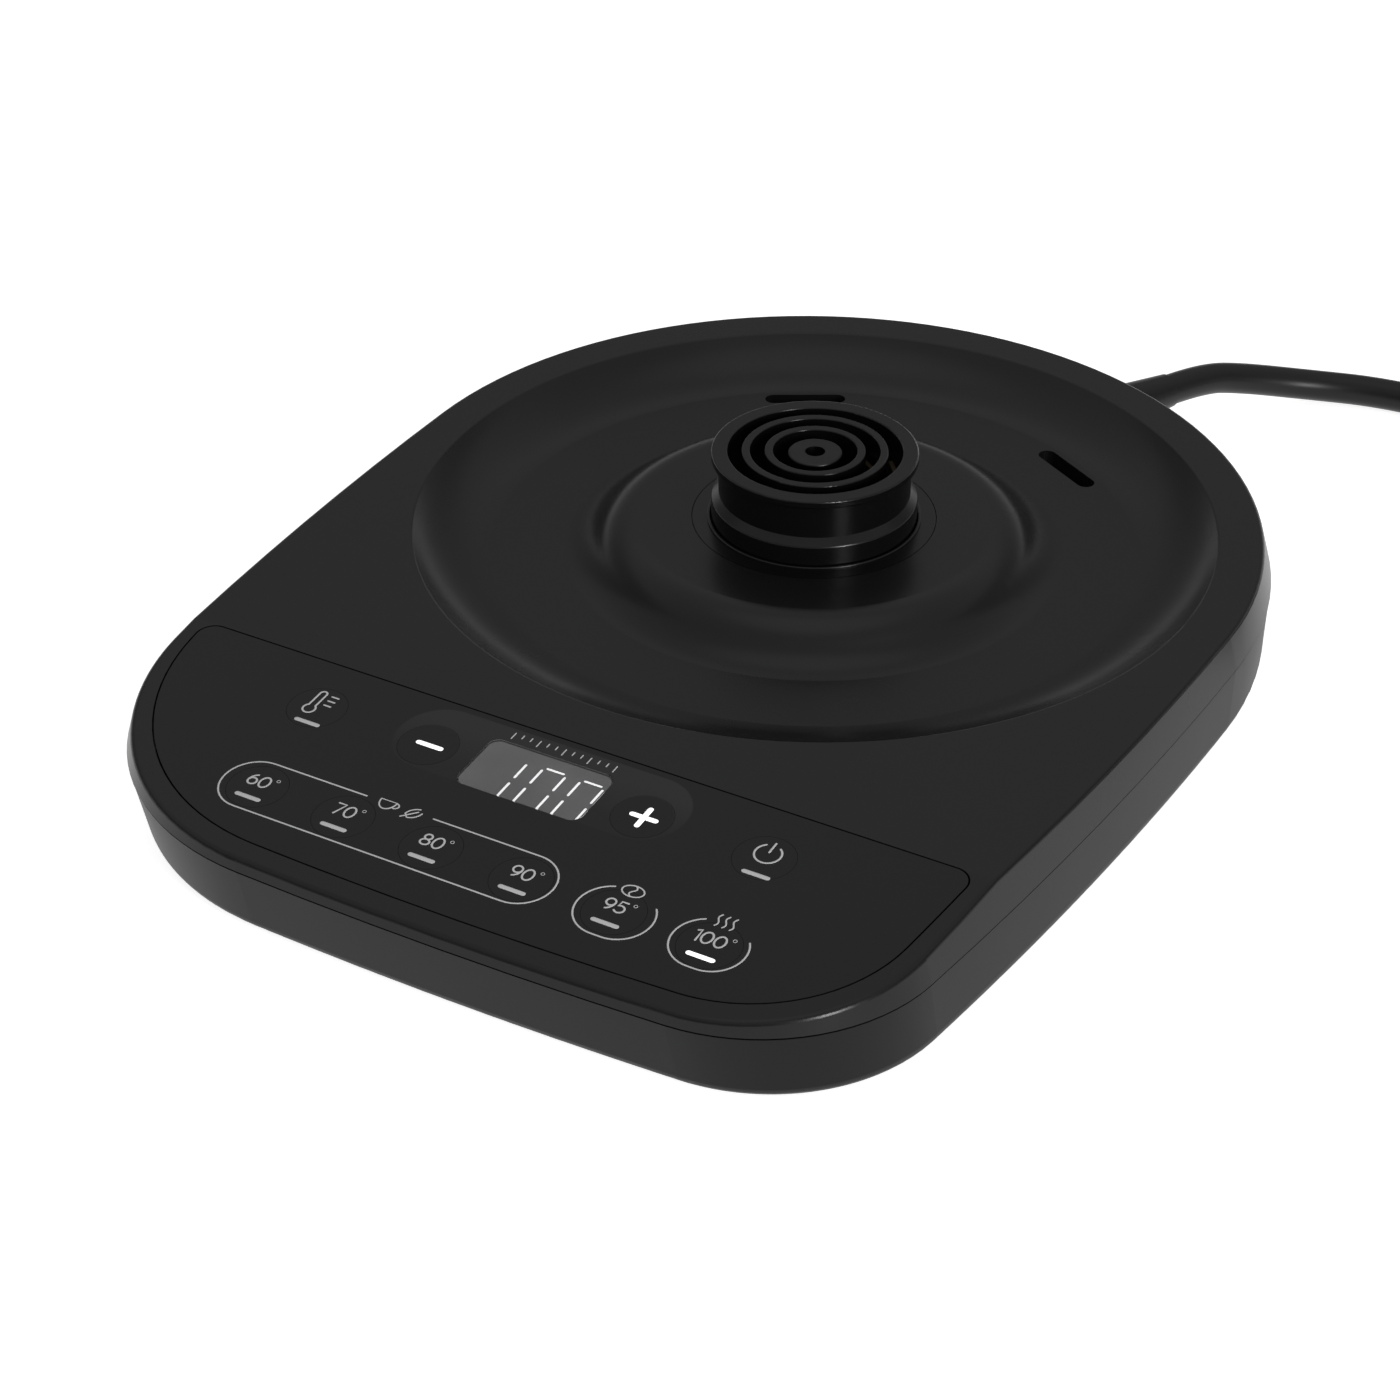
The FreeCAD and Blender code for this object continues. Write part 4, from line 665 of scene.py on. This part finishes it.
def print_side_keys(marks, ink):
    """The outer keys: a thermometer for keeping warm, a mains sign for starting, and their light bars."""
    width = marks.numeral_width
    gap_from, gap_to = 125, 415
    x, y = key_place("key_hold")
    glass_x = x - 1.2 * mm
    bulb_radius, stem_radius = 1.1 * mm, 0.63 * mm
    bulb = arc(glass_x, y - 0.6 * mm, bulb_radius, bulb_radius, gap_from, gap_to)
    cap = arc(glass_x, y + 3.6 * mm, stem_radius, stem_radius, 0, 180, 10)
    light = bar(x + marks.bar_shift, y - 3.8 * mm, marks.bar_length, marks.bar_width)
    strokes = [(bulb, width), ([bulb[-1]] + cap + [bulb[0]], width), light]
    for step in (1.2, 2.4, 3.6):
        strokes.append(bar(x + 1.2 * mm, y + step * mm, 1.6 * mm, width))
    print_marks("hold_marks", strokes, "key_hold", ink)
    x, y = key_place("key_start_stop")
    ring_radius = 2.2 * mm
    ring = arc(x, y + 1.2 * mm, ring_radius, ring_radius, gap_from, gap_to)
    stem = [(x, y + 1.6 * mm), (x, y + 3.9 * mm)]
    light = bar(x + marks.bar_shift, y - 3.9 * mm, marks.bar_length, marks.bar_width)
    strokes = [(ring, width), (stem, width), light]
    print_marks("start_stop_marks", strokes, "key_start_stop", ink)


def print_step_keys(marks, ink):
    """The lit minus and plus signs."""
    for name in ("key_minus", "key_plus"):
        x, y = key_place(name)
        x += marks.sign_shift
        strokes = [bar(x, y, marks.sign_length, marks.sign_width)]
        if name == "key_plus":
            half = (marks.sign_length - marks.sign_width) / 2
            strokes.append(([(x, y - half), (x, y + half)], marks.sign_width))
        print_marks(name.replace("key", "sign"), strokes, name, ink)


def print_presets(marks, ink, lit):
    """Each preset's temperature and its light bar, the last one lit."""
    shift, rise, drop = 0.6 * mm, 1.45 * mm, 2.65 * mm
    for text in presets:
        name = "key_" + text
        x, y = key_place(name)
        strokes = numeral(text, x - shift, y + rise, marks.numeral_height, marks.numeral_width)
        light = bar(x, y - drop, marks.bar_length, marks.bar_width)
        if text == presets[-1]:
            print_marks("light_bar_100", [light], name, lit)
        else:
            strokes.append(light)
        print_marks("preset_" + text, strokes, name, ink)


def print_outlines(marks, ink):
    """Outlines round the presets, each with a small picture of its drink in the gap."""
    width = marks.line_width
    tea = [value * mm for value in (-45.5, 16.8, -38.2, -26.6, -21.8, -9.0)]
    coffee = [value * mm for value in (21.4, 34.5, -38.3, -27.0)]
    boil = [value * mm for value in (38.1, 50.6, -38.0, -27.0)]
    outlines = (capsule(*tea), open_ring(*coffee, 112, 38), open_ring(*boil, 118, 34))
    strokes = [(outline, width) for outline in outlines]
    fine = 0.28 * mm
    pictures = ((cup_strokes(), -17.6, -26.9), (leaf_strokes(), -12.6, -26.9), (bean_strokes(), 28.0, -27.2),
                (steam_strokes(), 44.2, -27.0))
    for drawing, x, y in pictures:
        for stroke in drawing:
            strokes.append(([((x + px) * mm, (y + py) * mm) for px, py in stroke], fine))
    print_marks("preset_outlines", strokes, "base", ink)


def cup_strokes():
    """A small cup with a handle, in millimetres."""
    bowl = [(-1.7, 0.9), (1.3, 0.9)] + arc(-0.2, 0.9, 1.5, 2.0, 0, -180)
    return [bowl, arc(1.35, 0.2, 0.65, 0.6, 100, -100, 10)]


def leaf_strokes():
    """A small leaf, in millimetres."""
    edge = arc(0.9, -0.9, 2.2, 2.2, 100, 170, 10) + arc(-0.9, 0.9, 2.2, 2.2, -80, -10, 10)
    return [edge, [(-1.6, -1.5), (0.5, 0.6)]]


def bean_strokes():
    """A small bean with its crease, in millimetres."""
    crease = [(0.9 * math.sin(step * 0.9) * 0.45, 1.15 - step * 0.33) for step in range(8)]
    return [arc(0, 0, 1.9, 1.25, 0, 360), crease]


def steam_strokes():
    """Three rising wisps, in millimetres."""
    wisps = []
    for x in (-1.3, 0, 1.3):
        wisps.append([(x + 0.28 * math.sin(step * 0.8), -1.3 + step * 0.33) for step in range(9)])
    return wisps


def print_scale(marks, ink):
    """A fine scale along the top of the display."""
    first, pitch, drop, width = -8.96, 1.6, 2.4, 0.22 * mm
    strokes = []
    for step in range(13):
        x = (first + step * pitch) * mm
        length = 1.5 if step % 3 == 0 else 0.8
        strokes.append(([(x, -drop * mm), (x, -(drop + length) * mm)], width))
    print_marks("display_scale", strokes, "base", ink)


class KETTLEBASE_OT_display(bpy.types.Operator):
    """Finishes the display window and the display, and lights its digits"""
    bl_idname = "kettlebase.display"
    bl_label = "Display"

    def execute(self, context):
        marks = context.scene.kettle_print
        clear = {"Colour": (0.9, 0.9, 0.9), "Roughness": 0.03, "Grain": 2 * mm, "Patch Spread": 0.02}
        pane = finish("window_pane", moulded_grain(), clear, 0.0, {"Transmission Weight": 1.0, "IOR": 1.46})
        dress(pane, "display_window")
        dress(plastic("display_glass", (0.02, 0.02, 0.021), 0.25), "lcd_glass")
        display_image(marks)
        lit = plain_material("lit_digits", marks.lit_colour, roughness=0.5, glow=0.75)
        strokes = []
        for left, shape in ((-3.3, "1"), (-0.3, "0"), (6.75, "0")):
            strokes += segment_strokes(shape, left)
        print_marks("display_digits", strokes, "base", lit, lift=-marks.image_drop + marks.ink)
        dress(plastic("light_guide", (0.7, 0.7, 0.7), 0.4), "lcd_light")
        dress(plastic("strip_rubber", (0.05, 0.05, 0.05), 0.6), "lcd_strips")
        dress(plastic("holder_plastic", (0.012, 0.012, 0.012), 0.6), "lcd_holder")
        return {"FINISHED"}


def display_image(marks):
    """The display's lit ground: a thin rounded plate close under the window's face."""
    ground = finish("display_ground", moulded_grain(),
                    {"Colour": marks.display_colour, "Roughness": 0.4, "Grain": 0.2 * mm, "Patch": 14 * mm,
                     "Patch Spread": 0.16}, 0.001 * mm, {"Specular IOR Level": 0.0, "Emission Strength": 1.0})
    shader = ground.node_tree.nodes["Principled BSDF"]
    colour = shader.inputs["Base Color"].links[0].from_socket
    ground.node_tree.links.new(colour, shader.inputs["Emission Color"])
    low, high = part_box("display_window")
    middle = (panel_place().inverted() @ ((low + high) / 2)).y
    corner = marks.image_corner
    across = marks.image_width / 2 - corner
    up = marks.image_height / 2 - corner
    outline = []
    for side, level, start in ((1, 1, 0), (-1, 1, 90), (-1, -1, 180), (1, -1, 270)):
        outline += arc(side * across, middle + level * up, corner, corner, start, start + 90, 8)
    plate = bmesh.new()
    upper, lower = ([plate.verts.new((*point, level)) for point in outline] for level in (0, -marks.ink))
    plate.faces.new(upper)
    plate.faces.new(lower[::-1])
    for place in range(len(outline)):
        plate.faces.new((lower[place - 1], lower[place], upper[place], upper[place - 1]))
    plate.transform(panel_place(-marks.image_drop))
    mesh = bpy.data.meshes.new("display_image")
    plate.to_mesh(mesh)
    plate.free()
    mesh.materials.append(ground)
    piece = bpy.data.objects.new("display_image", mesh)
    bpy.context.scene.collection.objects.link(piece)
    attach(piece, "base")


def segment_strokes(shape, left):
    """A digit of upright and level bars, from its left edge in millimetres."""
    width = 0.42 * mm
    across = 4.3
    rows = [(-8.2, -12.0), (-13.3, -17.0)]
    row_inset, level_inset = 0.2, 0.65
    sides = [0] if shape == "1" else [0, across]
    strokes = []
    for top, low in rows:
        for side in sides:
            x = (left + side) * mm
            strokes.append(([(x, (top - row_inset) * mm), (x, (low + row_inset) * mm)], width))
    if shape == "0":
        level = -7.65 * mm
        right = left + across
        strokes.append(([((left + level_inset) * mm, level), ((right - level_inset) * mm, level)], width))
    return strokes


class KETTLEBASE_OT_inside(bpy.types.Operator):
    """Finishes the boards, their parts and the wires"""
    bl_idname = "kettlebase.inside"
    bl_label = "Inside"

    def execute(self, context):
        lacquer = plastic("board_lacquer", (0.03, 0.13, 0.06), roughness=0.35, grain=1.5 * mm,
                          depth=0.03 * mm)
        dress(lacquer, "control_board", "power_board")
        dress(plastic("dark_moulding", (0.015, 0.015, 0.016), 0.45), "key_switches", "controller_chip",
              "buzzer", "relay", "transformer", "fuse", "board_header", "cord_clamp")
        dress(plastic("pale_moulding", (0.6, 0.6, 0.57), 0.4), "key_lights", "capacitor")
        for name, colour in (("wire_line", (0.16, 0.06, 0.02)), ("wire_load", (0.16, 0.06, 0.02)),
                             ("wire_neutral", (0.02, 0.06, 0.32)), ("wire_earth", (0.12, 0.36, 0.04))):
            sleeve = plastic(name + "_sleeve", colour, roughness=0.4, grain=0.3 * mm, depth=0.005 * mm)
            dress(sleeve, name)
        return {"FINISHED"}


# Stage


class KETTLEBASE_OT_stage(bpy.types.Operator):
    """Makes the floor, the light and the camera"""
    bl_idname = "kettlebase.stage"
    bl_label = "Stage"

    def execute(self, context):
        studio = context.scene.kettle_studio
        context.scene.view_settings.view_transform = "Standard"
        make_floor(studio)
        make_sky(context.scene, studio)
        make_lamp("key_lamp", studio.key_power, studio.lamp_place, studio.lamp_size)
        make_camera(context.scene, studio)
        return {"FINISHED"}


def make_floor(studio):
    """A round pale floor that shows white to the camera and in reflections, and keeps the shadow."""
    floor_mesh = bpy.data.meshes.new("floor")
    disc = bmesh.new()
    bmesh.ops.create_circle(disc, cap_ends=True, segments=96, radius=studio.floor_radius)
    disc.to_mesh(floor_mesh)
    disc.free()
    floor = bpy.data.objects.new("floor", floor_mesh)
    bpy.context.scene.collection.objects.link(floor)
    material = bpy.data.materials.new("floor_paper")
    material.use_nodes = True
    tree = material.node_tree
    paper = tree.nodes["Principled BSDF"]
    paper.inputs["Base Color"].default_value = (0.85, 0.85, 0.85, 1)
    paper.inputs["Roughness"].default_value = 0.9
    path = add_node(tree, "LightPath")
    white = add_node(tree, "Emission", {"Color": (1, 1, 1, 1), "Strength": 1.0})
    lift = add_node(tree, "Emission", {"Color": (1, 1, 1, 1)})
    glow = calculate(tree, "MULTIPLY", path.outputs["Is Camera Ray"], studio.floor_glow)
    tree.links.new(glow, lift.inputs["Strength"])
    seen = add_node(tree, "AddShader")
    tree.links.new(paper.outputs[0], seen.inputs[0])
    tree.links.new(lift.outputs[0], seen.inputs[1])
    mirror = calculate(tree, "MAXIMUM", path.outputs["Is Glossy Ray"], path.outputs["Is Transmission Ray"])
    mix = add_node(tree, "MixShader")
    tree.links.new(mirror, mix.inputs[0])
    tree.links.new(seen.outputs[0], mix.inputs[1])
    tree.links.new(white.outputs[0], mix.inputs[2])
    tree.links.new(mix.outputs[0], tree.nodes["Material Output"].inputs["Surface"])
    floor_mesh.materials.append(material)


def make_sky(scene, studio):
    """Soft light from all round: pale low down, then dim, and brighter from half height up."""
    world = bpy.data.worlds.new("studio_sky")
    world.use_nodes = True
    tree = world.node_tree
    heights = add_node(tree, "SeparateXYZ")
    band = add_node(tree, "ValToRGB")
    band.color_ramp.interpolation = "EASE"
    stops = ((0.06, 0.8), (0.24, 0.27), (0.51, 0.29), (0.58, 0.66), (0.72, 0.62), (0.88, 0.62), (0.985, 1.0))
    while len(band.color_ramp.elements) < len(stops):
        band.color_ramp.elements.new(0.5)
    for stop, (height, level) in zip(band.color_ramp.elements, stops):
        stop.position = height
        stop.color = (level, level, level, 1)
    tree.links.new(add_node(tree, "TexCoord").outputs["Generated"], heights.inputs[0])
    tree.links.new(heights.outputs["Z"], band.inputs["Fac"])
    back = tree.nodes["Background"]
    tree.links.new(band.outputs["Color"], back.inputs["Color"])
    back.inputs["Strength"].default_value = studio.sky
    scene.world = world


def make_lamp(name, power, place, size):
    """A rectangular soft lamp that looks at the base."""
    lamp = bpy.data.lights.new(name, "AREA")
    lamp.shape = "RECTANGLE"
    lamp.size, lamp.size_y = size
    lamp.energy = power
    holder = bpy.data.objects.new(name, lamp)
    holder.location = place
    holder.rotation_mode = "QUATERNION"
    holder.rotation_quaternion = (-Vector(place)).to_track_quat("-Z", "Y")
    bpy.context.scene.collection.objects.link(holder)


def make_camera(scene, studio):
    """The camera at the photograph's place."""
    a, e, r = studio.azimuth, studio.elevation, studio.roll
    back = Vector((math.sin(a) * math.cos(e), -math.cos(a) * math.cos(e), math.sin(e)))
    right = Vector((math.cos(a), math.sin(a), 0))
    up = back.cross(right)
    across = right * math.cos(r) + up * math.sin(r)
    upright = up * math.cos(r) - right * math.sin(r)
    camera_data = bpy.data.cameras.new("camera")
    camera_data.lens = studio.lens
    camera_data.sensor_width = 36.0
    camera_data.clip_start = 0.01
    camera = bpy.data.objects.new("camera", camera_data)
    turn = Matrix((across, upright, back)).transposed().to_4x4()
    camera.matrix_world = Matrix.Translation(studio.camera_place) @ turn
    scene.collection.objects.link(camera)
    scene.camera = camera


class KETTLEBASE_PT_tools(bpy.types.Panel):
    """Lists the pieces of the base and their settings"""
    bl_idname = "KETTLEBASE_PT_tools"
    bl_label = "Kettle power base"
    bl_space_type = "VIEW_3D"
    bl_region_type = "UI"
    bl_category = "Kettle base"

    def draw(self, context):
        for operator in operators:
            self.layout.operator(operator.bl_idname)
        for pointer, group in settings.items():
            box = self.layout.box()
            box.label(text=group.__name__)
            for name in group.__annotations__:
                box.prop(getattr(context.scene, pointer), name)


operators = (KETTLEBASE_OT_cord, KETTLEBASE_OT_housing, KETTLEBASE_OT_connector, KETTLEBASE_OT_panel,
             KETTLEBASE_OT_display, KETTLEBASE_OT_inside, KETTLEBASE_OT_stage)
settings = {"kettle_finish": HousingFinish, "kettle_print": PanelPrint, "kettle_cord": CordLay,
            "kettle_studio": Studio}


def register():
    for group in settings.values():
        bpy.utils.register_class(group)
    for pointer, group in settings.items():
        setattr(bpy.types.Scene, pointer, PointerProperty(type=group))
    for operator in operators:
        bpy.utils.register_class(operator)
    bpy.utils.register_class(KETTLEBASE_PT_tools)


def unregister():
    bpy.utils.unregister_class(KETTLEBASE_PT_tools)
    for operator in reversed(operators):
        bpy.utils.unregister_class(operator)
    for pointer, group in settings.items():
        delattr(bpy.types.Scene, pointer)
        bpy.utils.unregister_class(group)


def main():
    """Registers the add-on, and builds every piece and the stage."""
    register()
    bpy.ops.kettlebase.cord()
    bpy.ops.kettlebase.housing()
    bpy.ops.kettlebase.connector()
    bpy.ops.kettlebase.panel()
    bpy.ops.kettlebase.display()
    bpy.ops.kettlebase.inside()
    bpy.ops.kettlebase.stage()


if __name__ == "__main__":
    main()
